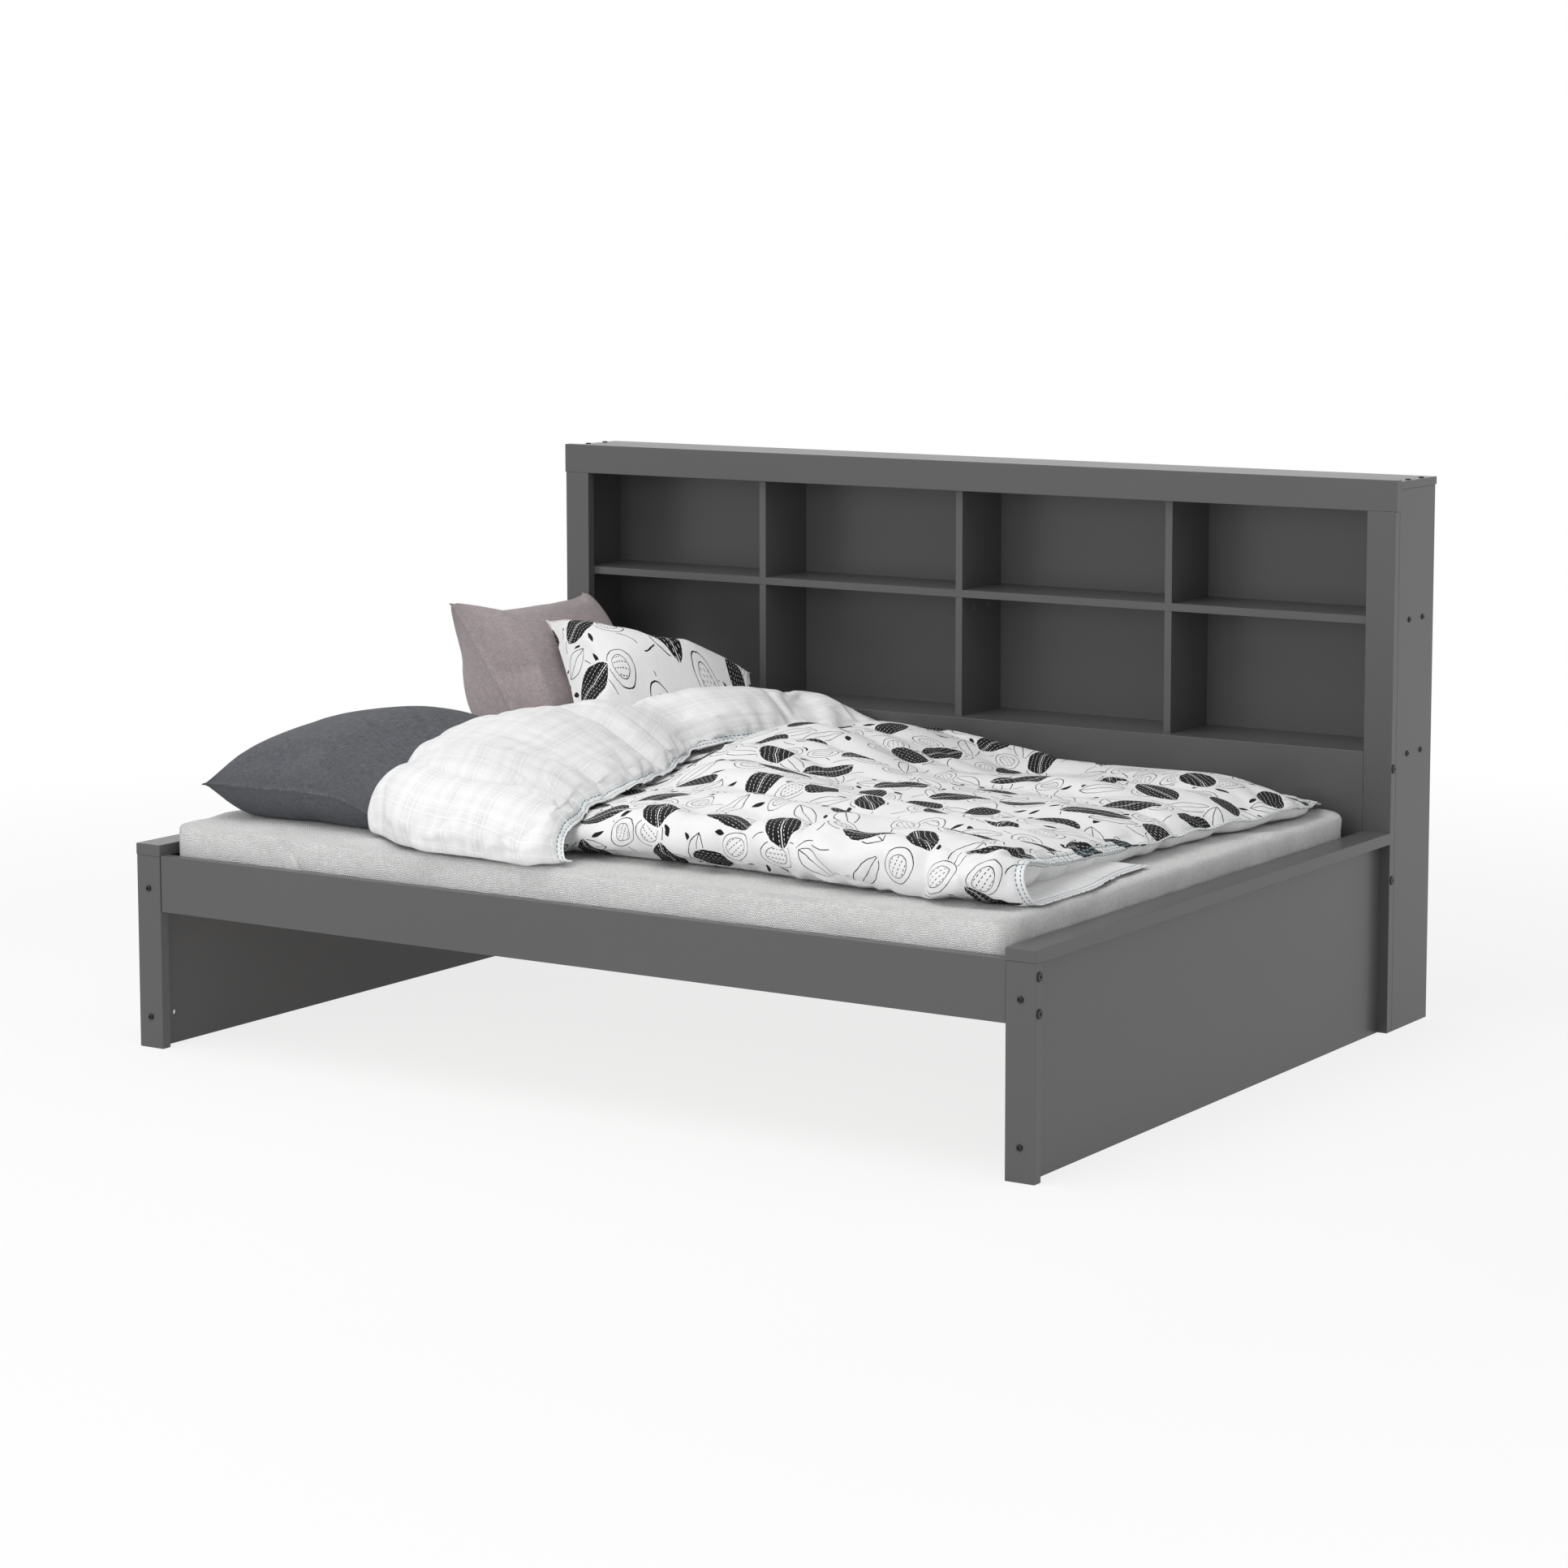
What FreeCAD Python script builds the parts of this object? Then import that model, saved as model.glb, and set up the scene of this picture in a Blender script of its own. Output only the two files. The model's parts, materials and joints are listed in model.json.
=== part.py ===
import FreeCAD, Part
import os
from FreeCAD import Vector

# Bookcase bed, in millimetres.  X runs along the bed, from head end to foot end.
# The front rail faces -Y, the bookcase stands along the +Y side, and Z is up from
# the floor.  X = 0 is the middle of the bed.  The pieces are laid out with Y = 0 at
# the front of the posts; the finished bed is moved to stand centred on the origin.

# --- boards ---------------------------------------------------------------
board = 16.0                  # shelves, dividers, end panels and case sides
solid_board = 22.0            # posts, stiles, rails and headboard panel
edge_radius = 1.2             # softened edge of every painted board
skin = 0.3                    # gap left beside a soft or loosely fitted piece

# --- bed frame ------------------------------------------------------------
bed_length = 2030.0           # over the outer faces of the posts
stile_front = 1430.0          # Y of the bookcase's front face
post_width = 59.0
post_height = 384.0
cap_height = 23.0
cap_overhang = 0.8
rail_height = 112.0
rail_rise = 2.0               # rail top above the post tops
rail_setback = 2.0            # rail face behind the post faces

# --- bookcase -------------------------------------------------------------
case_height = 1112.0          # floor to the top of the face rail
case_depth = 191.0            # stile front to the back edge of the sides
stile_width = 61.0
face_rail_height = 63.0
face_rail_overhang = 2.5
top_board_drop = 3.5          # top board below the top of the face rail
top_board_overhang = 2.0
middle_shelf_top = 837.0
bottom_shelf_top = 567.0
divider_pitch = 500.0
divider_count = 3
divider_setback = 1.0         # divider front behind the shelf front
back_thickness = 4.0
rebate = 8.0                  # how far the back panel enters each side
panel_joint = 0.3             # shadow gap between headboard panel and stiles

# --- mattress support -----------------------------------------------------
slat_drop = 76.0              # top of the slats below the rail's top
mattress_height = 140.0
mattress_play = 5.2           # mattress to each end cap; 1900 mm of length is left
mattress_side_play = 3.0      # mattress to rail and panel; 1400 mm of width is left
mattress_corner = 50.0
mattress_edge = 24.0
sheet_thickness = 1.5
slat_count = 14
slat_width = 70.0
slat_thickness = 18.0
slat_end_gap = 3.0
slat_margin = 14.0            # first slat from the end panel
hanger_screw_length = 14.0
cleat_width = 28.0
cleat_height = 22.0
beam_width = 40.0
beam_height = 60.0
hanger_plate = 2.5
hanger_seat = 42.0
hanger_ear = 22.0
strap_width = 25.0
strap_thickness = 1.2
strap_offset = 330.0          # strap from the middle of the slats

# --- fittings -------------------------------------------------------------
rail_head_radius = 9.0
rail_head_height = 2.6
panel_head_radius = 6.0
panel_head_height = 4.0
bolt_radius = 3.0
bolt_play = 0.3               # hole radius over bolt radius
bolt_bite = 45.0              # bolt length inside the rail or panel it pulls
bolt_tip = 8.0                # bolt beyond the centre of its barrel nut
nut_radius = 5.0
nut_length = 13.0
nut_play = 0.05
screw_play = 0.1
overcut = 1.0                 # how far a cut runs past the face it starts from
rail_bolt_top_edge = 27.0     # upper rail bolt below the rail's top
rail_bolt_bottom_edge = 21.0  # lower rail bolt above the rail's bottom
panel_bolt_heights = (62.0, 319.0)
head_bolt_top_edge = 32.0
head_bolt_bottom_edge = 36.0
screw_head_radius = 5.8
screw_head_height = 2.4
screw_radius = 2.5
screw_length = 50.0
screw_row_front = 75.0        # case screws behind the stile front
screw_row_back = 139.0
flush_head_radius = 5.0
flush_head_height = 1.5
wood_screw_radius = 2.0
wood_screw_length = 38.0
socket_radius = 2.6
socket_depth = 1.8
cam_radius = 7.5
cam_depth = 12.5
cam_drop = 24.0               # cam centre below the middle shelf
cam_rows = (49.0, 110.0)      # cams behind the divider's front edge
cam_pin_radius = 3.0
cam_pin_bite = 11.0
dowel_radius = 4.0
dowel_play = 0.05
dowel_bite = 12.0
dowel_end_air = 1.0
dowel_inset = 60.0            # outermost dowels from the corners of a joint
cap_dowels = 5
stile_dowels = 4
shelf_dowels = 6
shelf_dowel_share = 0.8       # headboard dowels, as a share of the top board's spread
cleat_screw_count = 6
cleat_screw_share = 0.85      # outermost cleat screws, as a share of half the length
nail_count = 9
nail_share = 0.93             # outermost nails, as a share of half the length
hanger_screw_heights = (0.25, 0.75)    # shares of the beam's height
nail_radius = 0.8
nail_head_radius = 2.2
nail_head_height = 0.6
nail_length = 20.0

# --- bedding --------------------------------------------------------------
# Places along the bed are measured from the head end of the mattress.
seam_half = 2.0               # half the thickness of a sewn pillow edge
pillow_draw = 0.08            # how far a pillow's sides are drawn in, as a share
dark_size = 487.0             # along the bed's length
dark_span = 680.0             # across the bed
dark_rises = (120.0, 72.0)    # crown above and belly below the seam
dark_from_head = 230.0
dark_from_rail = 410.0        # pillow's middle from the inside of the front rail
cushion_size = 405.0
cushion_span = 490.0
cushion_rises = (96.0, 60.0)
cushion_from_head = 92.0
cushion_from_panel = 255.0    # cushion's middle from the headboard panel
cushion_angle = 58.0
print_size = 540.0
print_span = 430.0
print_rises = (100.0, 66.0)
print_from_head = 355.0
print_from_panel = 225.0
print_angle = 34.0
duvet_gap = 6.0               # duvet's underside over the pillows
fold_lap = 36.0               # crest of the folded edge behind the edge itself
hem_step = 22.0               # folded-back layer above the duvet's body
fold_crown = 10.0             # rounding of the folded-back layer
fold_bulge = 10.0             # roundness of the folded edge itself
foot_bulge = 0.4              # roundness of the foot end, as a share of the thickness
flap_length = 40.0            # front corner of the duvet beyond the folded-back hem
# Share of the mattress width, folded edge from the head, fold thickness, hem from the
# head, top above the mattress, foot end from the foot of the mattress (none where the
# folded-back corner hangs past the rest)
duvet_rows = (
    (0.031, 530.0, 40.0, 910.0, 30.0, None),
    (0.078, 463.0, 44.0, 890.0, 46.0, 112.0),
    (0.189, 416.0, 44.0, 830.0, 48.0, 109.0),
    (0.342, 405.0, 44.0, 785.0, 46.0, 110.0),
    (0.509, 390.0, 44.0, 710.0, 44.0, 100.0),
    (0.621, 420.0, 42.0, 660.0, 44.0, 97.0),
    (0.759, 480.0, 40.0, 715.0, 42.0, 99.0),
    (0.885, 540.0, 38.0, 770.0, 40.0, 88.0),
    (0.998, 565.0, 36.0, 840.0, 36.0, 112.0),
)
pillow_shares = (0.94, 0.82, 0.6, 0.3, 0.0)    # duvet sections along half a pillow

# --- places worked out from the sizes above -------------------------------
half_length = bed_length / 2
post_middle = half_length - post_width / 2
post_inner = half_length - post_width
panel_inner = post_middle - board / 2
rail_top = post_height + rail_rise
rail_bottom = rail_top - rail_height
rail_front = rail_setback
rail_back = rail_front + solid_board
rail_middle = rail_front + solid_board / 2
rail_end = post_inner - cap_overhang
stile_back = stile_front + solid_board
stile_middle = stile_front + solid_board / 2
stile_inner = half_length - stile_width
stile_top = case_height - face_rail_height
case_back = stile_front + case_depth
side_inner = half_length - board
side_middle = half_length - board / 2
top_board_top = case_height - top_board_drop
top_board_bottom = top_board_top - board
back_front = case_back - back_thickness
middle_shelf_bottom = middle_shelf_top - board
bottom_shelf_bottom = bottom_shelf_top - board
divider_front = stile_back + divider_setback
slat_top = rail_top - slat_drop
mattress_bottom = slat_top
mattress_top = mattress_bottom + mattress_height
mattress_reach = post_inner - cap_overhang - mattress_play
mattress_front = rail_back + mattress_side_play
mattress_back = stile_front - mattress_side_play
slat_bottom = slat_top - slat_thickness
cleat_top = slat_bottom
cleat_bottom = cleat_top - cleat_height
beam_bottom = slat_bottom - beam_height
bed_middle = (rail_back + stile_front) / 2
footprint_middle = (case_back + top_board_overhang - panel_head_height) / 2
head_panel_end = stile_inner - panel_joint

right, back_way, up = Vector(1, 0, 0), Vector(0, 1, 0), Vector(0, 0, 1)

parts = {}
holes = {}


def add(name, *shapes):
    """Keep shapes as one named piece or group of like pieces."""
    parts.setdefault(name, []).extend(shapes)


def drill(name, *tools):
    """Note holes that are cut from a piece once all of them are known."""
    holes.setdefault(name, []).extend(tools)


def block(x_range, y_range, z_range, radius=0.0):
    """A rectangular piece between pairs of coordinates, its edges rounded."""
    low = Vector(min(x_range), min(y_range), min(z_range))
    high = Vector(max(x_range), max(y_range), max(z_range))
    size = high - low
    shape = Part.makeBox(size.x, size.y, size.z, low)
    if radius > 0:
        shape = shape.makeFillet(radius, shape.Edges)
    return shape


def rounded(x_range, y_range, z_range):
    """A painted board with softened edges."""
    return block(x_range, y_range, z_range, edge_radius)


def rod(start, way, radius, length):
    return Part.makeCylinder(radius, length, start, way)


def mirrored(shape):
    return shape.mirror(Vector(0, 0, 0), right)


def sides():
    """The two ends of the bed: a name and the sign of X."""
    return (("left", -1), ("right", 1))


def both_ends(name, shape):
    """Keep a right-hand piece and its mirror image at the left-hand end."""
    add("right_" + name, shape)
    add("left_" + name, mirrored(shape))


def drill_both_ends(name, *tools):
    drill("right_" + name, *tools)
    drill("left_" + name, *[mirrored(tool) for tool in tools])


# --- bed frame ------------------------------------------------------------

def end_frames():
    """Front post, infill panel and cap at each end."""
    post = rounded((post_inner, half_length), (0, solid_board), (0, post_height))
    both_ends("front_post", post)
    panel = block((panel_inner, panel_inner + board), (solid_board, stile_front),
                  (0, post_height))
    both_ends("end_panel", panel)
    cap = rounded((post_inner - cap_overhang, half_length + cap_overhang),
                  (-cap_overhang, stile_front), (post_height, post_height + cap_height))
    both_ends("end_cap", cap)


def rails():
    """Front rail, lower headboard panel and the cleats that carry the slats."""
    add("front_rail", rounded((-rail_end, rail_end), (rail_front, rail_back),
                              (rail_bottom, rail_top)))
    add("headboard_panel", rounded((-head_panel_end, head_panel_end),
                                   (stile_front, stile_back),
                                   (rail_bottom, bottom_shelf_top)))
    cleat_end = panel_inner - skin
    add("front_rail_cleat", block((-cleat_end, cleat_end),
                                  (rail_back, rail_back + cleat_width),
                                  (cleat_bottom, cleat_top)))
    add("headboard_cleat", block((-cleat_end, cleat_end),
                                 (stile_front - cleat_width, stile_front),
                                 (cleat_bottom, cleat_top)))


def beam_and_hangers():
    """Centre beam lying in a bent steel hanger on each end panel."""
    wall = panel_inner - hanger_plate
    add("centre_beam", block((-wall + skin, wall - skin),
                             (bed_middle - beam_width / 2, bed_middle + beam_width / 2),
                             (beam_bottom, slat_bottom)))
    inside = beam_width / 2 + skin
    outside = inside + hanger_plate
    seat = block((panel_inner - hanger_seat, panel_inner),
                 (bed_middle - outside, bed_middle + outside),
                 (beam_bottom - hanger_plate, slat_bottom - hanger_plate))
    trough = block((panel_inner - hanger_seat - overcut, panel_inner),
                   (bed_middle - inside, bed_middle + inside),
                   (beam_bottom, slat_bottom))
    plate = block((wall, panel_inner),
                  (bed_middle - outside - hanger_ear, bed_middle + outside + hanger_ear),
                  (beam_bottom - hanger_plate, slat_bottom - hanger_plate))
    hanger = seat.cut(trough).fuse(plate).removeSplitter()
    for side in (-1, 1):
        for height in hanger_screw_heights:
            place = Vector(wall, bed_middle + side * (outside + hanger_ear / 2),
                           beam_bottom + height * beam_height)
            screw = wood_screw(place, right, hanger_screw_length)
            hole = rod(place - right, right, wood_screw_radius + screw_play,
                       hanger_plate + 2 * overcut)
            hanger = hanger.cut(hole).cut(screw)
            add("support_screws", screw, mirrored(screw))
            drill_both_ends("end_panel", screw)
    add("beam_hangers", hanger, mirrored(hanger))


def slat_middles():
    first = -panel_inner + slat_margin + slat_width / 2
    pitch = -2 * first / (slat_count - 1)
    return [first + pitch * i for i in range(slat_count)]


def slats():
    """Slats across the bed, held at a steady pitch by two webbing straps."""
    front = rail_back + slat_end_gap
    back = stile_front - slat_end_gap
    middles = slat_middles()
    for i, x in enumerate(middles):
        add("slat_%d" % (i + 1),
            block((x - slat_width / 2, x + slat_width / 2), (front, back),
                  (slat_bottom, slat_top), 2 * edge_radius))
    reach = middles[-1] + slat_width / 2
    for side in (-1, 1):
        y = bed_middle + side * strap_offset
        add("slat_straps", block((-reach, reach), (y - strap_width / 2, y + strap_width / 2),
                                 (slat_bottom - strap_thickness, slat_bottom)))
    for i in (0, slat_count - 1):
        for y in (rail_back + cleat_width / 2, stile_front - cleat_width / 2):
            screw = wood_screw(Vector(middles[i], y, slat_top), -up, wood_screw_length)
            add("support_screws", screw)
            drill("slat_%d" % (i + 1), screw)
            drill("front_rail_cleat" if y < bed_middle else "headboard_cleat", screw)


# --- bookcase -------------------------------------------------------------

def case_ends():
    """Stile and side board at each end of the bookcase, both standing on the floor."""
    both_ends("stile", rounded((stile_inner, half_length), (stile_front, stile_back),
                               (0, stile_top)))
    side = rounded((side_inner, half_length), (stile_back, case_back),
                   (0, top_board_bottom))
    groove = block((side_inner - overcut, side_inner + rebate),
                   (back_front, case_back + overcut),
                   (bottom_shelf_bottom, top_board_bottom + overcut))
    both_ends("side_board", side.cut(groove))


def case_boards():
    """Face rail, top, shelves, dividers and thin back of the bookcase."""
    rail_reach = half_length + face_rail_overhang
    add("face_rail", rounded((-rail_reach, rail_reach), (stile_front, stile_back),
                             (stile_top, case_height)))
    top_reach = half_length + top_board_overhang
    add("top_board", rounded((-top_reach, top_reach),
                             (stile_back, case_back + top_board_overhang),
                             (top_board_bottom, top_board_top)))
    for name, top in (("middle_shelf", middle_shelf_top), ("bottom_shelf", bottom_shelf_top)):
        add(name, block((-side_inner, side_inner), (stile_back, back_front),
                        (top - board, top)))
    for i, x in enumerate(divider_middles()):
        walls = (x - board / 2, x + board / 2)
        deep = (divider_front, back_front)
        add("upper_divider_%d" % (i + 1), block(walls, deep, (middle_shelf_top, top_board_bottom)))
        add("lower_divider_%d" % (i + 1), block(walls, deep, (bottom_shelf_top, middle_shelf_bottom)))
    back_reach = side_inner + rebate
    add("back_panel", block((-back_reach, back_reach), (back_front, case_back),
                            (bottom_shelf_bottom, top_board_bottom)))


def divider_middles():
    first = -divider_pitch * (divider_count - 1) / 2
    return [first + divider_pitch * i for i in range(divider_count)]


# --- fittings -------------------------------------------------------------

def headed(place, way, head_radius, head_height, radius, length):
    """A domed black head with a hexagon socket, on a plain shank."""
    head = Part.makeCylinder(head_radius, head_height, place, -way)
    rim = [e for e in head.Edges if abs(e.CenterOfMass.sub(place).dot(way)) > head_height / 2
           and len(e.Vertexes) == 1]
    head = head.makeFillet(head_height * 0.6, rim)
    top = place - way * head_height
    corners = hexagon(top, way, socket_radius)
    socket = Part.Face(Part.makePolygon(corners)).extrude(way * socket_depth)
    return head.fuse(rod(place, way, radius, length)).removeSplitter().cut(socket)


def hexagon(middle, way, radius):
    across = up if abs(way.z) < 0.5 else right
    corner = across.normalize() * radius
    turn = FreeCAD.Rotation(way, 60)
    corners = [corner]
    for _ in range(6):
        corners.append(turn.multVec(corners[-1]))
    return [middle + c for c in corners]


def wood_screw(place, way, length):
    """A countersunk screw whose flat head lies flush at its place."""
    head = Part.makeCone(2 * wood_screw_radius, wood_screw_radius, wood_screw_radius,
                         place, way)
    neck = place + way * wood_screw_radius
    return head.fuse(rod(neck, way, wood_screw_radius, length - wood_screw_radius))


def nut(middle, way):
    """A barrel nut: a short cross pin with a threaded hole through its middle."""
    return Part.makeCylinder(nut_radius, nut_length, middle - way * (nut_length / 2), way)


def bolted(group, place, way, head, through, outer, inner, nut_way):
    """A bolt through the outer piece into a barrel nut inside the inner piece."""
    head_radius, head_height = head
    length = through + bolt_bite
    bolt = headed(place, way, head_radius, head_height, bolt_radius, length)
    tunnel = rod(place - way, way, bolt_radius + bolt_play, length + 2 * overcut)
    middle = place + way * (length - bolt_tip)
    barrel = nut(middle, nut_way)
    start = middle - nut_way * (nut_length / 2)
    pocket = rod(start, nut_way, nut_radius + nut_play, nut_length + solid_board)
    add(group, bolt)
    add("barrel_nuts", barrel.cut(rod(place, way, bolt_radius + nut_play, length)))
    drill(outer, tunnel)
    drill(inner, tunnel, pocket)


def frame_bolts():
    """Large-headed bolts through posts and stiles into the two long boards."""
    head = (rail_head_radius, rail_head_height)
    rail_heights = (rail_top - rail_bolt_top_edge, rail_bottom + rail_bolt_bottom_edge)
    panel_heights = (bottom_shelf_top - head_bolt_top_edge, rail_bottom + head_bolt_bottom_edge)
    for name, side in sides():
        inward = right * -side
        for z in rail_heights:
            bolted("rail_bolts", Vector(side * half_length, rail_middle, z), inward, head,
                   half_length - rail_end, name + "_front_post", "front_rail", back_way)
        for z in panel_heights:
            bolted("rail_bolts", Vector(side * half_length, stile_middle, z), inward, head,
                   half_length - head_panel_end, name + "_stile", "headboard_panel", back_way)


def panel_bolts():
    """Small domed bolts through post and stile into the edges of each end panel."""
    head = (panel_head_radius, panel_head_height)
    for name, side in sides():
        inside = right * -side
        for z in panel_bolt_heights:
            bolted("panel_bolts", Vector(side * post_middle, 0, z), back_way, head,
                   solid_board, name + "_front_post", name + "_end_panel", inside)
            bolted("panel_bolts", Vector(side * post_middle, stile_back, z), -back_way, head,
                   solid_board, name + "_stile", name + "_end_panel", inside)


def case_screws():
    """Domed screws through the sides and the top of the bookcase."""
    rows = (stile_front + screw_row_front, stile_front + screw_row_back)
    for name, side in sides():
        for y in rows:
            for shelf, top in (("middle_shelf", middle_shelf_top),
                               ("bottom_shelf", bottom_shelf_top)):
                place = Vector(side * half_length, y, top - board / 2)
                case_screw(place, right * -side, name + "_side_board", shelf)
            case_screw(Vector(side * side_middle, y, top_board_top), -up, "top_board",
                       name + "_side_board")
    for i, x in enumerate(divider_middles()):
        for y in rows:
            screw = flush_screw(Vector(x, y, top_board_top))
            add("divider_screws", screw)
            drill("top_board", screw)
            drill("upper_divider_%d" % (i + 1), screw)


def case_screw(place, way, outer, inner):
    screw = headed(place, way, screw_head_radius, screw_head_height, screw_radius,
                   screw_length)
    add("case_screws", screw)
    shank = rod(place - way, way, screw_radius, screw_length + overcut)
    drill(outer, shank)
    drill(inner, shank)


def flush_screw(place):
    """A grey flat-headed screw let in flush with the top board."""
    head = rod(place, -up, flush_head_radius, flush_head_height)
    return head.fuse(rod(place, -up, screw_radius, screw_length)).removeSplitter()


def cams():
    """Cam locks in the middle divider that draw it up to the middle shelf."""
    index = divider_count // 2
    face = divider_middles()[index] + board / 2
    divider = "lower_divider_%d" % (index + 1)
    z = middle_shelf_bottom - cam_drop
    for row in cam_rows:
        y = divider_front + row
        cam = rod(Vector(face, y, z), -right, cam_radius, cam_depth)
        low = z + cam_radius
        length = middle_shelf_bottom + cam_pin_bite - low
        pin = rod(Vector(face - board / 2, y, low), up, cam_pin_radius, length)
        add("cam_locks", cam)
        add("cam_pins", pin)
        drill(divider, cam, pin)
        drill("middle_shelf", pin)


def dowel(start, way, length, *boards):
    """A wooden dowel, with a little air past both ends of its hole."""
    pin = rod(start, way, dowel_radius, length)
    hole = rod(start - way * dowel_end_air, way, dowel_radius + dowel_play,
               length + 2 * dowel_end_air)
    add("dowels", pin)
    for name in boards:
        drill(name, hole)


def spread(low, high, count):
    """Evenly spaced places from low to high."""
    return [low + (high - low) * i / (count - 1) for i in range(count)]


def dowels():
    bite, inset = dowel_bite, dowel_inset
    for name, side in sides():
        x = side * post_middle
        dowel(Vector(x, solid_board / 2, post_height - bite), up, 2 * bite,
              name + "_front_post", name + "_end_cap")
        for y in spread(solid_board + 2 * inset, stile_front - inset, cap_dowels):
            dowel(Vector(x, y, post_height - bite), up, 2 * bite,
                  name + "_end_panel", name + "_end_cap")
        for z in spread(2 * inset, stile_top - inset, stile_dowels):
            dowel(Vector(side * side_middle, stile_back - bite, z), back_way, 2 * bite,
                  name + "_stile", name + "_side_board")
        for x in (stile_inner + solid_board, half_length - solid_board):
            dowel(Vector(side * x, stile_middle, stile_top - bite), up, 2 * bite,
                  name + "_stile", "face_rail")
    for x in spread(inset - half_length, half_length - inset, shelf_dowels):
        dowel(Vector(x, stile_back - bite, top_board_bottom + board / 2), back_way,
              2 * bite, "face_rail", "top_board")
        dowel(Vector(x * shelf_dowel_share, stile_back - bite, bottom_shelf_top - board / 2), back_way,
              2 * bite, "headboard_panel", "bottom_shelf")
    rows = (divider_front + solid_board, back_front - solid_board)
    for i, x in enumerate(divider_middles()):
        upper, lower = "upper_divider_%d" % (i + 1), "lower_divider_%d" % (i + 1)
        for y in rows:
            dowel(Vector(x, y, middle_shelf_bottom - bite), up, 2 * bite + board,
                  lower, "middle_shelf", upper)
            dowel(Vector(x, y, bottom_shelf_top - board / 2), up, board / 2 + bite,
                  "bottom_shelf", lower)


def cleat_screws():
    """Countersunk screws that hold each cleat to its rail or panel."""
    z = cleat_bottom + cleat_height / 2
    reach = cleat_screw_share * half_length
    for x in spread(-reach, reach, cleat_screw_count):
        front = wood_screw(Vector(x, rail_back + cleat_width, z), -back_way, wood_screw_length)
        back = wood_screw(Vector(x, stile_front - cleat_width, z), back_way, wood_screw_length)
        add("support_screws", front, back)
        drill("front_rail_cleat", front)
        drill("front_rail", front)
        drill("headboard_cleat", back)
        drill("headboard_panel", back)


def back_nails():
    """Small nails round the back panel, into the shelves and the top edges of the sides."""
    reach = nail_share * half_length
    for z, board_name in ((middle_shelf_top - board / 2, "middle_shelf"),
                          (bottom_shelf_top - board / 2, "bottom_shelf")):
        for x in spread(-reach, reach, nail_count):
            place = Vector(x, case_back, z)
            nail = rod(place, back_way, nail_head_radius, nail_head_height).fuse(
                rod(place, -back_way, nail_radius, nail_length)).removeSplitter()
            add("back_panel_nails", nail)
            drill("back_panel", nail)
            drill(board_name, nail)


# --- mattress and bedding -------------------------------------------------

def padded_block(x_range, y_range, z_range, corner, edge):
    """A mattress shape: round corners seen from above, softer top and bottom edges."""
    shape = block(x_range, y_range, z_range)
    posts = [e for e in shape.Edges if abs(e.tangentAt(e.FirstParameter).z) > 0.5]
    shape = shape.makeFillet(corner, posts)
    flat = [e for e in shape.Edges
            if abs(e.BoundBox.ZMax - e.BoundBox.ZMin) < 0.01]
    return shape.makeFillet(edge, flat)


def mattress_and_sheet():
    """Foam mattress against the headboard panel, in a fitted sheet open underneath."""
    reach, front, back = mattress_reach, mattress_front, mattress_back
    inset = sheet_thickness
    core_sides = ((-reach + inset, reach - inset), (front + inset, back - inset))
    bottom = mattress_bottom + skin
    core = padded_block(*core_sides, (bottom, mattress_top - inset),
                        mattress_corner - inset, mattress_edge - inset)
    outer = padded_block((-reach, reach), (front, back), (bottom, mattress_top),
                         mattress_corner, mattress_edge)
    hollow_sides = [(low - skin, high + skin) for low, high in core_sides]
    hollow = padded_block(*hollow_sides, (bottom - mattress_edge, mattress_top - inset + skin),
                          mattress_corner - inset + skin, mattress_edge - inset + skin)
    under = block((-reach, reach), (front, back),
                  (bottom - overcut, bottom + mattress_edge))
    add("mattress", core)
    add("fitted_sheet", outer.cut([hollow, under]))


def fullness(y, middle, span):
    """Place along a pillow's span, 0 in the middle to 1 at its ends, and its filling there."""
    s = min(abs(y - middle) / (span / 2), 1)
    return s, 1 - s ** 4


def lens(y, middle, size, span, rises):
    """A pillow's half width, crown and belly where it is cut across at one Y."""
    s, fill = fullness(y, middle, span)
    reach = size / 2 * (1 - pillow_draw * (1 - s * s))
    return reach, seam_half + rises[0] * fill, seam_half + rises[1] * fill


def pillow(size, span, rises, middle, slope):
    """A stuffed pillow: full crown, thin corners, sides drawn in between the corners.

    size runs down the slope and span along Y; it comes to rest on the mattress.
    """
    sections = []
    for y in spread(middle[1] - span / 2, middle[1] + span / 2, 7):
        reach, crown, belly = lens(y, middle[1], size, span, rises)
        seam_a, seam_b = Vector(-reach, y, 0), Vector(reach, y, 0)
        front = Part.Arc(seam_a, Vector(0, y, crown), seam_b).toShape()
        back = Part.Arc(seam_b, Vector(0, y, -belly), seam_a).toShape()
        sections.append(Part.Wire([front, back]))
    shape = Part.makeLoft(sections, True, False)
    shape.rotate(Vector(0, 0, 0), back_way, slope)
    drop = shape.optimalBoundingBox(False).ZMin
    seam_height = mattress_top + skin - drop
    shape.translate(Vector(middle[0], 0, seam_height))
    return shape, seam_height


def pillow_crown(x, y, size, span, rises, middle, slope, seam_height):
    """Height of a pillow's upper side over one place on the mattress."""
    reach, crown, _ = lens(y, middle[1], size, span, rises)
    radius = (reach ** 2 + crown ** 2) / (2 * crown)
    turn = FreeCAD.Rotation(back_way, slope)
    centre = turn.multVec(Vector(0, 0, crown - radius))
    across = x - middle[0] - centre.x
    return seam_height + centre.z + (radius ** 2 - across ** 2) ** 0.5


def pillow_end(y, size, span, rises, middle, slope, seam_height):
    """The lower seam of a pillow at one Y, the end that the duvet hangs down past."""
    reach = lens(y, middle[1], size, span, rises)[0]
    seam = FreeCAD.Rotation(back_way, slope).multVec(Vector(reach, 0, 0))
    return middle[0] + seam.x, seam_height + seam.z


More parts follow.
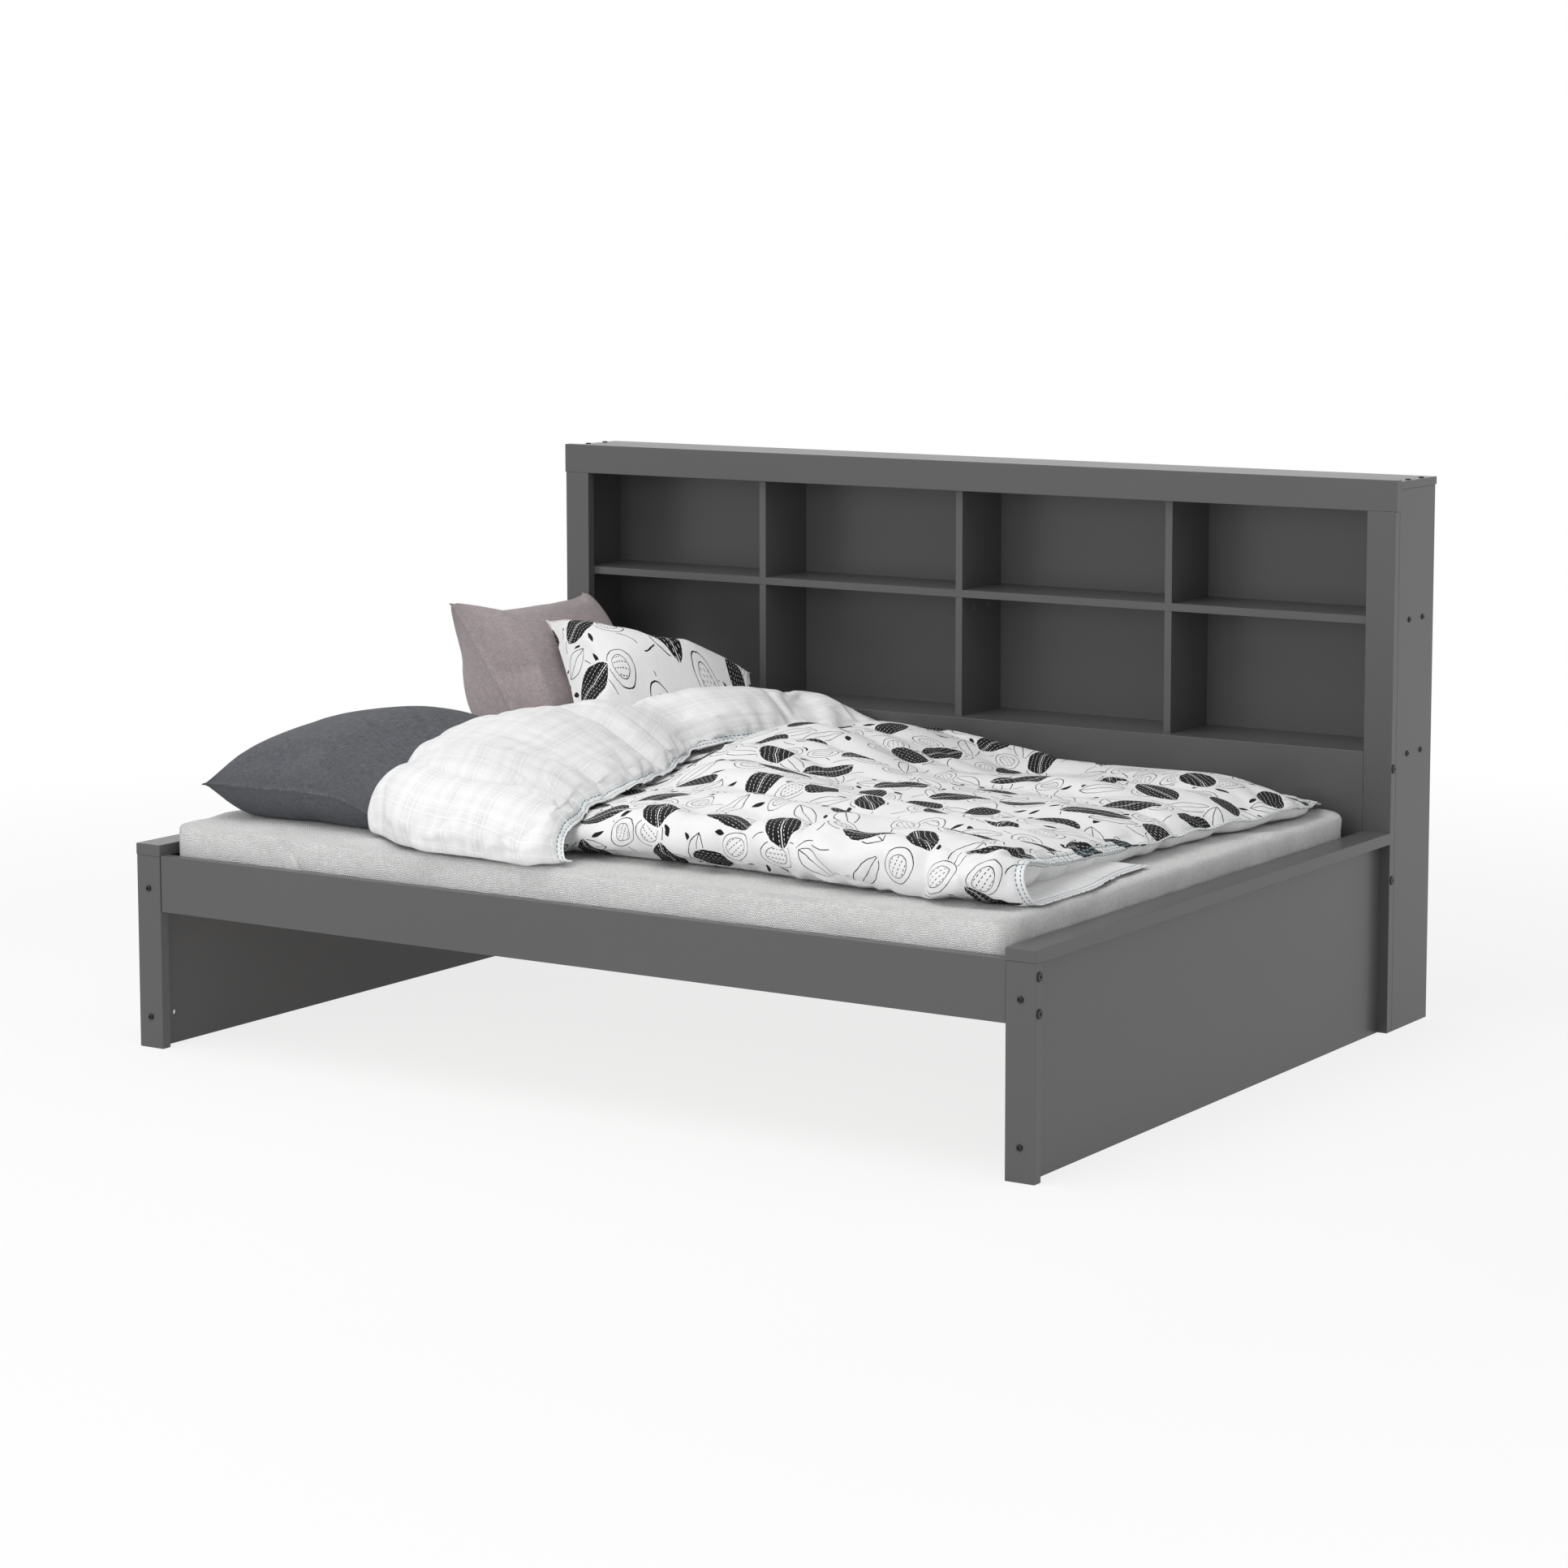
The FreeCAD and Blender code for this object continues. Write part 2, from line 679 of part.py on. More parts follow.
def placed_rows():
    """The duvet's rows with their places in the bed's own coordinates."""
    rows = []
    for share, edge, thick, hem, rise, foot_gap in duvet_rows:
        y = mattress_front + share * (mattress_back - mattress_front)
        hem_x = hem - mattress_reach
        foot = hem_x + flap_length if foot_gap is None else mattress_reach - foot_gap
        rows.append((y, edge - mattress_reach, thick, hem_x, mattress_top + rise, foot))
    return rows


def between(y, rows):
    """The duvet's measures at one Y, in line between the two nearest rows."""
    for low, high in zip(rows, rows[1:]):
        if y <= high[0]:
            break
    part_way = (y - low[0]) / (high[0] - low[0])
    return [a + (b - a) * part_way for a, b in zip(low, high)]


def duvet_section(y, rows, covered):
    """The duvet cut across at one Y, from its foot end to its folded-back head end."""
    _, edge, thick, hem, body, foot = between(y, rows)
    rest = mattress_top + skin
    under, side, shoulder = rest + thick / 4, edge + fold_lap, rest + 1
    swell = (under + shoulder) / 2 + seam_half
    for size, span, rises, middle, slope, height in covered:
        if abs(y - middle[1]) <= span / 2 + duvet_gap:
            args = (size, span, rises, middle, slope, height)
            side, seam = pillow_end(y, *args)
            side, shoulder = side + duvet_gap, seam + duvet_gap
            under = pillow_crown(edge - duvet_gap, y, *args) + duvet_gap
            swell = pillow_crown((edge + side) / 2 - duvet_gap, y, *args) + duvet_gap
    crest = max(under + thick, body + hem_step + thick / 2)
    hem_top = body + hem_step
    corners = [Vector(foot, y, rest), Vector(side, y, rest), Vector(side, y, shoulder),
               Vector(edge, y, under), Vector(edge + fold_lap, y, crest),
               Vector(hem, y, hem_top), Vector(hem + hem_step / 2, y, body),
               Vector(foot, y, body)]
    fold_side = Vector(edge - fold_bulge, y, (under + crest) / 2 + thick / 6)
    crown = (corners[4] + corners[5]) / 2 + Vector(0, 0, fold_crown)
    foot_side = Vector(foot + (body - rest) * foot_bulge, y, (rest + body) / 2)
    lining = Vector((edge + side) / 2, y, swell)
    edges = [Part.makeLine(a, b) for a, b in zip(corners[:2], corners[1:3])]
    edges.append(Part.Arc(corners[2], lining, corners[3]).toShape())
    edges.append(Part.Arc(corners[3], fold_side, corners[4]).toShape())
    edges.append(Part.Arc(corners[4], crown, corners[5]).toShape())
    edges += [Part.makeLine(a, b) for a, b in zip(corners[5:7], corners[6:8])]
    edges.append(Part.Arc(corners[7], foot_side, corners[0]).toShape())
    return Part.Wire(edges)


def section_places(rows, covered):
    """Where along Y the duvet is cut: its two ends, and closely where pillows swell."""
    first, last = rows[0][0], rows[-1][0]
    places = {first, last}
    for pillow_sizes in covered:
        half, middle = pillow_sizes[1] / 2, pillow_sizes[3][1]
        for side in (-1, 1):
            places.update(middle + side * half * share for share in pillow_shares)
            places.update((middle + side * (half + duvet_gap * 0.9),
                           middle + side * (half + duvet_gap * 1.5)))
    return sorted(y for y in places if first <= y <= last)


def bedding():
    """Three pillows, and one duvet whose head end is folded back over two of them."""
    dark_middle = (dark_from_head - mattress_reach, rail_back + dark_from_rail)
    cushion_middle = (cushion_from_head - mattress_reach, stile_front - cushion_from_panel)
    print_middle = (print_from_head - mattress_reach, stile_front - print_from_panel)
    dark = (dark_size, dark_span, dark_rises, dark_middle, 0)
    cushion = (cushion_size, cushion_span, cushion_rises, cushion_middle, cushion_angle)
    patterned = (print_size, print_span, print_rises, print_middle, print_angle)
    dark_pillow, dark_height = pillow(*dark)
    mauve_cushion, _ = pillow(*cushion)
    print_pillow, print_height = pillow(*patterned)
    add("dark_pillow", dark_pillow)
    add("mauve_cushion", mauve_cushion)
    add("print_pillow", print_pillow)
    covered = (dark + (dark_height,), patterned + (print_height,))
    rows = placed_rows()
    sections = [duvet_section(y, rows, covered) for y in section_places(rows, covered)]
    add("duvet", Part.makeLoft(sections, True, True))


# --- the whole bed --------------------------------------------------------

def export():
    os.makedirs("parts", exist_ok=True)
    for name, shapes in parts.items():
        solids = []
        for shape in shapes:
            tools = [t for t in holes.get(name, []) if t.BoundBox.intersect(shape.BoundBox)]
            cut = shape.cut(tools) if tools else shape
            solids.extend(cut.Solids)
        whole = solids[0] if len(solids) == 1 else Part.makeCompound(solids)
        whole.translate(Vector(0, -footprint_middle, 0))
        whole.exportStep("parts/%s.step" % name)
        print("%-20s %3d solid(s) %5d faces" % (name, len(solids), len(whole.Faces)))


end_frames()
rails()
beam_and_hangers()
slats()
case_ends()
case_boards()
frame_bolts()
panel_bolts()
case_screws()
cams()
dowels()
cleat_screws()
back_nails()
mattress_and_sheet()
bedding()
export()
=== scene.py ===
import json
import math

import bmesh
import bpy
from mathutils import Matrix, Vector, noise


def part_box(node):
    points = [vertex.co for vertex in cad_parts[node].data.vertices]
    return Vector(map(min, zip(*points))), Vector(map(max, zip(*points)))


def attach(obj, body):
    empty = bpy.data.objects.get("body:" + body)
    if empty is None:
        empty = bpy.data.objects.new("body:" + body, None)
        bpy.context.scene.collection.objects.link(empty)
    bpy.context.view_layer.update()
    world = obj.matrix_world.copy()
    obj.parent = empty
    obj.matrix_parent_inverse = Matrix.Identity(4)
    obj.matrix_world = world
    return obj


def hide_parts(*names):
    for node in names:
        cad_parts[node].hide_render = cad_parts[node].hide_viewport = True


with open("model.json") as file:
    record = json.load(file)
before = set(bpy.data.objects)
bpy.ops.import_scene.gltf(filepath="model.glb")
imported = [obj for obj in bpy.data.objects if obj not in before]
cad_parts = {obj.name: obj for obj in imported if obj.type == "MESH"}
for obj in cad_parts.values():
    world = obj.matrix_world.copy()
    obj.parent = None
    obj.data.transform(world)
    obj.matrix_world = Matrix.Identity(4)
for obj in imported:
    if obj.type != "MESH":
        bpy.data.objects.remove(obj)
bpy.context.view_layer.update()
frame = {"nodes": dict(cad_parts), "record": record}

noise.seed_set(7)

sheetLow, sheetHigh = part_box("fitted_sheet")
mattressTop = sheetHigh.z
headEnd, footEnd = sheetLow.x, sheetHigh.x
railSide, panelSide = sheetLow.y, sheetHigh.y
print("frame loaded, mattress top at", round(mattressTop, 3))


# camera, floor and lamps

cameraLook = {
    "place": (4.2427, -6.5167, 1.6969),
    "turn": 32.59,              # degrees left of straight ahead
    "tilt": 6.677,              # degrees down
    "lens": 90.36,
    "shift": (-0.0269, -0.09),
}

studio = {
    "worldLight": 0.64,
    "floorSize": 40.0,
    "floorPaint": 0.84,
    "floorNear": 0.8,           # share of plain white that the floor shows under the bed
    "shadowFrom": 2.2,          # the floor shows shadow inside this radius
    "shadowTo": 4.0,
    "lamps": {
        # name: place, aimed at, size, watts
        "topSoftbox": ((-0.6, -1.7, 4.2), (0, -0.2, 0.4), 3.6, 70),
        "frontSoftbox": ((0.5, -6.2, 1.9), (0, -0.4, 0.5), 3.2, 80),
    },
}


def makeCamera(look):
    data = bpy.data.cameras.new("photoCamera")
    data.lens = look["lens"]
    data.shift_x, data.shift_y = look["shift"]
    data.dof.use_dof = False
    data.clip_end = 100
    camera = bpy.data.objects.new("photoCamera", data)
    camera.location = look["place"]
    camera.rotation_euler = (math.radians(90 - look["tilt"]), 0, math.radians(look["turn"]))
    bpy.context.scene.collection.objects.link(camera)
    bpy.context.scene.camera = camera


# a value is a number or a socket to link from
def setInput(tree, socket, value):
    if isinstance(value, bpy.types.NodeSocket):
        tree.links.new(value, socket)
    else:
        socket.default_value = value


def node(tree, kind, values=None, **settings):
    made = tree.nodes.new("ShaderNode" + kind)
    for name, value in settings.items():
        setattr(made, name, value)
    for name, value in (values or {}).items():
        setInput(tree, made.inputs[name], value)
    return made


def calc(tree, operation, *values, clamp=False):
    made = node(tree, "Math", dict(enumerate(values)), operation=operation, use_clamp=clamp)
    return made.outputs[0]


# the first value with the second, the result with the third, and so on
def chain(operation):
    def reckon(tree, first, *others, clamp=False):
        for other in others:
            first = calc(tree, operation, first, other, clamp=clamp)
        return first
    return reckon


plus, minus, times, divided = [chain(word) for word in ("ADD", "SUBTRACT", "MULTIPLY", "DIVIDE")]
larger, lessThan, moreThan, modulo = [
    chain(word) for word in ("MAXIMUM", "LESS_THAN", "GREATER_THAN", "FLOORED_MODULO")]


def mixColour(tree, factor, low, high, way="MIX"):
    made = node(tree, "Mix", {0: factor}, data_type="RGBA", blend_type=way)
    for i, value in ((6, low), (7, high)):
        isSocket = isinstance(value, bpy.types.NodeSocket)
        setInput(tree, made.inputs[i], value if isSocket else (*value[:3], 1))
    return made.outputs[2]


def eitherOf(tree, choice, first, second):
    return node(tree, "Mix", {0: choice, 2: first, 3: second}).outputs[0]


def noiseOn(tree, vector, scale, detail=2.0, output=0, **more):
    values = {"Vector": vector, "Scale": scale, "Detail": detail, **more}
    return node(tree, "TexNoise", values).outputs[output]


def stretchedTo(tree, value, low, high, newLow=0.0, newHigh=1.0):
    return node(tree, "MapRange", {"Value": value, "From Min": low, "From Max": high,
                                   "To Min": newLow, "To Max": newHigh}).outputs[0]


def partsOf(tree, vector):
    return node(tree, "SeparateXYZ", {0: vector}).outputs


def nudged(tree, vector, move, amount):
    small = node(tree, "VectorMath", {0: move, "Scale": amount}, operation="SCALE").outputs[0]
    return node(tree, "VectorMath", {0: vector, 1: small}).outputs[0]


def bumpFrom(tree, height, distance, strength=1.0, **more):
    return node(tree, "Bump", {"Height": height, "Distance": distance, "Strength": strength,
                               **more}).outputs[0]


def objectSpot(tree):
    return node(tree, "TexCoord").outputs["Object"]


def clothSpot(tree, name="cloth"):
    return node(tree, "UVMap", uv_map=name).outputs[0]


def newFinish(name):
    material = bpy.data.materials.new(name)
    material.use_nodes = True
    material.node_tree.nodes.clear()
    return material, material.node_tree


def surface(tree, colour, roughness, more):
    shader = node(tree, "BsdfPrincipled", {"Base Color": colour, "Roughness": roughness, **more})
    node(tree, "OutputMaterial", {"Surface": shader.outputs[0]})


# 1 for what the camera sees, straight or mirrored
def seenRays(tree):
    path = node(tree, "LightPath").outputs
    return larger(tree, path["Is Camera Ray"], path["Is Glossy Ray"])


# a scene object that stands at the origin, made from a finished bmesh
def pieceFrom(mesh, name):
    data = bpy.data.meshes.new(name)
    mesh.to_mesh(data)
    mesh.free()
    for face in data.polygons:
        face.use_smooth = True
    made = bpy.data.objects.new(name, data)
    bpy.context.scene.collection.objects.link(made)
    return made


def makeStage(look):
    mesh = bmesh.new()
    bmesh.ops.create_grid(mesh, x_segments=1, y_segments=1, size=look["floorSize"] / 2)
    floor = pieceFrom(mesh, "studioFloor")
    material, tree = newFinish("studioFloorPaint")
    far = node(tree, "VectorMath", {0: objectSpot(tree)}, operation="LENGTH").outputs["Value"]
    fade = stretchedTo(tree, far, look["shadowFrom"], look["shadowTo"], look["floorNear"])
    paint = node(tree, "BsdfDiffuse", {"Color": (look["floorPaint"],) * 3 + (1,)}).outputs[0]
    white = node(tree, "Emission", {"Color": (1, 1, 1, 1), "Strength": 1.0}).outputs[0]
    share = times(tree, seenRays(tree), fade)
    mixed = node(tree, "MixShader", {0: share, 1: paint, 2: white}).outputs[0]
    node(tree, "OutputMaterial", {"Surface": mixed})
    floor.data.materials.append(material)

    world = bpy.data.worlds.new("studioWorld")
    bpy.context.scene.world = world
    world.use_nodes = True
    tree = world.node_tree
    tree.nodes.clear()
    strength = larger(tree, seenRays(tree), look["worldLight"])
    sky = node(tree, "Background", {"Color": (1, 1, 1, 1), "Strength": strength})
    node(tree, "OutputWorld", {"Surface": sky.outputs[0]})

    for name, (spot, aim, size, watts) in look["lamps"].items():
        data = bpy.data.lights.new(name, "AREA")
        data.shape = "DISK"
        data.size = size
        data.energy = watts
        lamp = bpy.data.objects.new(name, data)
        lamp.location = spot
        lamp.rotation_euler = (Vector(aim) - Vector(spot)).to_track_quat("-Z", "Y").to_euler()
        bpy.context.scene.collection.objects.link(lamp)
    bpy.context.scene.view_settings.view_transform = "Standard"


# shader groups that several finishes share

def newGroup(name, inputs, outputs):
    group = bpy.data.node_groups.new(name, "ShaderNodeTree")
    for socket, kind, *value in inputs:
        made = group.interface.new_socket(socket, in_out="INPUT",
                                          socket_type="NodeSocket" + kind)
        if value:
            made.default_value = value[0]
    for socket, kind in outputs.items():
        group.interface.new_socket(socket, in_out="OUTPUT", socket_type="NodeSocket" + kind)
    given = group.nodes.new("NodeGroupInput").outputs
    result = group.nodes.new("NodeGroupOutput").inputs
    return group, given, result


def giveOut(tree, result, **sockets):
    for name, socket in sockets.items():
        tree.links.new(socket, result[name])
    return tree


def useGroup(tree, group, **values):
    return node(tree, "Group", values, node_tree=group).outputs


# mottling and fine roller texture of sprayed boards
def boardPaintGroup():
    tree, given, result = newGroup(
        "boardPaint",
        [("Vector", "Vector"), ("Paint", "Color"), ("Variation", "Float"),
         ("Grain", "Float", 700.0)],
        {"Colour": "Color", "Roughness": "Float", "Height": "Float"})
    cloud = noiseOn(tree, given["Vector"], 2.2, 3.0, Roughness=0.55)
    fine = noiseOn(tree, given["Vector"], given["Grain"])
    gain = plus(tree, 1.0, times(tree, minus(tree, cloud, 0.5), given["Variation"]))
    grey = node(tree, "CombineXYZ", {0: gain, 1: gain, 2: gain}).outputs[0]
    return giveOut(tree, result, Height=fine,
                   Colour=mixColour(tree, 1.0, given["Paint"], grey, "MULTIPLY"),
                   Roughness=plus(tree, 0.26, times(tree, cloud, 0.08), times(tree, fine, 0.05)))


# straight grain along X of the given vector, with darker late wood and pores
def woodGrainGroup():
    tree, given, result = newGroup(
        "woodGrain",
        [("Vector", "Vector"), ("Light", "Color"), ("Dark", "Color"), ("Rings", "Float")],
        {"Colour": "Color", "Height": "Float"})
    long = node(tree, "Mapping", {"Vector": given["Vector"], "Scale": (0.07, 1, 1)}).outputs[0]
    bend = noiseOn(tree, long, 7.0, 4.0)
    lines = noiseOn(tree, long, given["Rings"], 5.0, Roughness=0.7)
    both = plus(tree, times(tree, bend, 0.5), times(tree, lines, 0.6))
    sharp = stretchedTo(tree, both, 0.4, 0.72)
    return giveOut(tree, result, Height=lines,
                   Colour=mixColour(tree, sharp, given["Light"], given["Dark"]))


# a row of rounded humps, one for each whole number
def humps(tree, value):
    return calc(tree, "ABSOLUTE", calc(tree, "SINE", times(tree, value, math.pi)))


# threads crossing over and under each other, on a flat vector in metres; the gap mask marks the
# hollows between threads, where shade is painted
def basketWeaveGroup():
    tree, given, result = newGroup(
        "basketWeave",
        [("Vector", "Vector"), ("Thread", "Float"), ("Slub", "Float", 0.25)],
        {"Height": "Float", "Gap": "Float"})
    flat, thread = given["Vector"], given["Thread"]
    waver = noiseOn(tree, flat, 60.0, output=1)
    move = node(tree, "VectorMath", {0: waver, 1: (0.5, 0.5, 0.5)}, operation="SUBTRACT").outputs[0]
    parts = partsOf(tree, nudged(tree, flat, move, times(tree, given["Slub"], thread)))
    across, along = [divided(tree, parts[i], thread) for i in (0, 1)]
    cells = plus(tree, calc(tree, "FLOOR", across), calc(tree, "FLOOR", along))
    warp, weft = humps(tree, across), humps(tree, along)
    crown = times(tree, warp, weft)
    tilt = eitherOf(tree, modulo(tree, cells, 2.0), warp, weft)
    return giveOut(tree, result,
                   Height=plus(tree, times(tree, crown, 0.6), times(tree, tilt, 0.4)),
                   Gap=minus(tree, 1.0, times(tree, crown, 1.6), clamp=True))


# offset rows of plump short floats, each a little lighter or darker than the next; the gap mask marks
# the pinholes between floats, where shade is painted
def grainWeaveGroup():
    tree, given, result = newGroup(
        "grainWeave",
        [("Vector", "Vector"), ("Length", "Float"), ("Width", "Float")],
        {"Height": "Float", "Gap": "Float", "Chance": "Float"})
    flat = given["Vector"]
    parts = partsOf(tree, nudged(tree, flat, noiseOn(tree, flat, 45.0, output=1), 0.006))
    along = divided(tree, parts[1], given["Width"])
    row = calc(tree, "FLOOR", along)
    odd = times(tree, modulo(tree, row, 2.0), 0.5)
    across = plus(tree, divided(tree, parts[0], given["Length"]), odd)
    cell = node(tree, "CombineXYZ", {0: calc(tree, "FLOOR", across), 1: row}).outputs[0]
    chance = node(tree, "TexWhiteNoise", {"Vector": cell}, noise_dimensions="2D").outputs["Value"]
    dome = calc(tree, "POWER", times(tree, humps(tree, across), humps(tree, along)), 0.5)
    return giveOut(tree, result, Height=dome, Chance=chance,
                   Gap=minus(tree, 1.0, times(tree, dome, 1.5), clamp=True))


boardPaint = boardPaintGroup()
woodGrain = woodGrainGroup()
basketWeave = basketWeaveGroup()
grainWeave = grainWeaveGroup()


# finishes of the frame

boardLook = {"paint": (0.094, 0.094, 0.0955, 1), "variation": 0.07, "bump": 0.00005,
             "gloss": 0.42}
woodLook = {"light": (0.66, 0.5, 0.33, 1), "dark": (0.5, 0.34, 0.2, 1), "rings": 70.0}
# the webbing's dark colour is shade painted between its threads
webbingLook = {"thread": 0.0016, "light": (0.62, 0.62, 0.6), "dark": (0.35, 0.35, 0.34)}


def paintedBoards(look):
    material, tree = newFinish("darkGreyPaint")
    paint = useGroup(tree, boardPaint, Vector=objectSpot(tree), Paint=look["paint"],
                     Variation=look["variation"])
    surface(tree, paint["Colour"], paint["Roughness"],
            {"Normal": bumpFrom(tree, paint["Height"], look["bump"], 0.5),
             "Specular IOR Level": look["gloss"]})
    return material


def plainWood(name, turn, look):
    material, tree = newFinish(name)
    turned = node(tree, "Mapping", {"Vector": objectSpot(tree), "Rotation": (0, 0, turn)}).outputs[0]
    grain = useGroup(tree, woodGrain, Vector=turned, Light=look["light"], Dark=look["dark"],
                     Rings=look["rings"])
    surface(tree, grain["Colour"], 0.62, {"Normal": bumpFrom(tree, grain["Height"], 0.0003, 0.4)})
    return material


def plainMetal(name, colour, metallic, roughness):
    material, tree = newFinish(name)
    cloud = noiseOn(tree, objectSpot(tree), 240.0, 3.0)
    rough = plus(tree, roughness - 0.06, times(tree, cloud, 0.12))
    tint = mixColour(tree, cloud, [c * 0.85 for c in colour], [min(c * 1.15, 1) for c in colour])
    surface(tree, tint, rough, {"Metallic": metallic})
    return material


# webbing tape, the gaps between its threads painted darker as shade
def webbingTape(look):
    material, tree = newFinish("webbingTape")
    weave = useGroup(tree, basketWeave, Vector=objectSpot(tree), Thread=look["thread"])
    tint = mixColour(tree, weave["Gap"], look["light"], look["dark"])
    surface(tree, tint, 0.85, {"Normal": bumpFrom(tree, weave["Height"], 0.0004)})
    return material


def dressFrame():
    woodAlong = plainWood("plainWoodAlong", 0.0, woodLook)
    woodAcross = plainWood("plainWoodAcross", math.pi / 2, woodLook)
    finishes = {
        "paint": paintedBoards(boardLook),
        "bare_wood": woodAlong,
        "zinc_steel": plainMetal("zincSteel", (0.6, 0.61, 0.63), 1.0, 0.38),
        "black_steel": plainMetal("blackSteel", (0.012, 0.012, 0.013), 0.3, 0.34),
        "grey_metal": plainMetal("greyMetal", (0.3, 0.3, 0.31), 0.9, 0.45),
        "webbing": webbingTape(webbingLook),
    }
    for part in frame["record"]["subparts"]:
        name, slot = part["node"], part["material_slot"]
        if slot in finishes:
            isSlat = name.startswith("slat_") and name != "slat_straps"
            shown = frame["nodes"][name].data
            shown.materials.clear()
            shown.materials.append(woodAcross if isSlat else finishes[slot])


# cloth finishes

# the shader every cloth here ends in, with a soft sheen at grazing light
def clothSurface(tree, colour, roughness, normal, sheen):
    surface(tree, colour, roughness, {"Normal": normal, "Specular IOR Level": 0.2,
                                      "Sheen Weight": sheen, "Sheen Roughness": 0.5})


# plain or basket woven cloth of one dye, with slubs both ways, a little mottling, and shade painted
# between the threads
def wovenCloth(name, look):
    material, tree = newFinish(name)
    flat = clothSpot(tree)
    weave = useGroup(tree, basketWeave, Vector=flat, Thread=look["thread"], Slub=look["slub"])
    cloud = noiseOn(tree, flat, look["cloud"], 4.0)
    slubs = []
    for way in ((45, 420, 1), (420, 45, 1)):
        streak = node(tree, "Mapping", {"Vector": flat, "Scale": way}).outputs[0]
        slubs.append(noiseOn(tree, streak, 1.0))
    fleck = stretchedTo(tree, times(tree, plus(tree, *slubs), 0.5), 0.38, 0.62)
    base = mixColour(tree, fleck, look["dark"], look["light"])
    # painted shade between the threads
    shade = mixColour(tree, times(tree, weave["Gap"], look["gapShade"]), base, look["gap"])
    cloudy = mixColour(tree, times(tree, cloud, look["mottle"]), shade, look["dark"])
    bump = bumpFrom(tree, weave["Height"], look["relief"], 0.8)
    clothSurface(tree, cloudy, look["roughness"], bump, look["sheen"])
    return material


# gap is the colour of the shade painted between the threads, gapShade how strongly it is painted
slateLook = {"thread": 0.0028, "slub": 0.8, "cloud": 9.0, "dark": (0.085, 0.09, 0.102),
             "light": (0.2, 0.208, 0.23), "gap": (0.05, 0.053, 0.06), "gapShade": 0.8,
             "mottle": 0.25, "relief": 0.0014, "roughness": 0.9, "sheen": 0.12}
mauveLook = {"thread": 0.0016, "slub": 0.8, "cloud": 7.0, "dark": (0.32, 0.272, 0.278),
             "light": (0.47, 0.41, 0.412), "gap": (0.25, 0.21, 0.215), "gapShade": 0.3,
             "mottle": 0.25, "relief": 0.0004, "roughness": 0.75, "sheen": 0.15}
coverLook = {"thread": 0.004, "slub": 0.3, "cloud": 5.0, "dark": (0.74, 0.74, 0.72),
             "light": (0.85, 0.85, 0.83), "gap": (0.6, 0.6, 0.58), "gapShade": 0.4,
             "mottle": 0.1, "relief": 0.001, "roughness": 0.85, "sheen": 0.1}
# gap is the colour of the shade painted in the sheet's pinholes
linenLook = {"length": 0.0052, "width": 0.003, "dark": (0.82, 0.82, 0.815),
             "light": (0.96, 0.96, 0.955), "gap": (0.36, 0.36, 0.36), "relief": 0.0016}
cottonLook = {"thread": 0.0009, "weave": 0.06, "pulled": 0.9, "relief": 0.0042,
              "stitchDip": 0.0014, "roughness": 0.82, "sheen": 0.02}
duvetDye = {"white": (0.84, 0.84, 0.84), "ink": (0.007, 0.007, 0.008),
            "thread": (0.13, 0.27, 0.31), "band": (0.735, 0.738, 0.745),
            "line": (0.885, 0.885, 0.885)}


# the fitted sheet: thick floats with pinholes between them, painted dark as shade
def grainLinen(look):
    material, tree = newFinish("grainLinen")
    weave = useGroup(tree, grainWeave, Vector=clothSpot(tree), Length=look["length"],
                     Width=look["width"])
    thread = mixColour(tree, weave["Chance"], look["dark"], look["light"])
    tint = mixColour(tree, weave["Gap"], thread, look["gap"])
    clothSurface(tree, tint, 0.9, bumpFrom(tree, weave["Height"], look["relief"]), 0.1)
    return material


# printed, checked and stitched cloth

# 1 where distance is within half of at
def ring(tree, distance, at, half):
    return lessThan(tree, calc(tree, "ABSOLUTE", minus(tree, distance, at)), half)


# local place, turned at random, and random numbers of the nearest scattered point
def scattered(tree, vector, spacing, randomness, shift):
    moved = node(tree, "VectorMath", {0: vector, 1: shift}).outputs[0]
    cells = node(tree, "TexVoronoi",
                 {"Vector": moved, "Scale": 1 / spacing, "Randomness": randomness},
                 voronoi_dimensions="2D").outputs
    away = node(tree, "VectorMath", {0: moved, 1: cells["Position"]},
                operation="SUBTRACT").outputs[0]
    chance = node(tree, "SeparateColor", {0: cells["Color"]}).outputs
    turned = node(tree, "VectorRotate", {"Vector": away, "Angle": times(tree, chance[0], math.tau)},
                  rotation_type="Z_AXIS").outputs[0]
    spot = partsOf(tree, turned)
    return spot[0], spot[1], chance


# signed distance, roughly, to the edge of a pointed leaf lying along X
def leafEdge(tree, x, y, length, width):
    radius = (length * length + width * width) / (4 * width)
    lift = plus(tree, calc(tree, "ABSOLUTE", y), radius - width / 2)
    squares = plus(tree, times(tree, x, x), times(tree, lift, lift))
    return minus(tree, calc(tree, "SQRT", squares), radius)


def ovalEdge(tree, x, y, radius, squeeze):
    squares = plus(tree, times(tree, x, x), times(tree, y, y, squeeze))
    return minus(tree, calc(tree, "SQRT", squares), radius)


# short strokes along X, every row shifted against the next
def dashes(tree, x, y, pitch, length, half):
    rows = divided(tree, y, pitch)
    inRow = minus(tree, calc(tree, "FRACT", rows), 0.5)
    offset = times(tree, calc(tree, "FLOOR", rows), 0.37)
    inLine = calc(tree, "FRACT", plus(tree, divided(tree, x, length * 1.9), offset))
    thin = lessThan(tree, calc(tree, "ABSOLUTE", inRow), half / pitch)
    return times(tree, thin, lessThan(tree, inLine, 0.55))


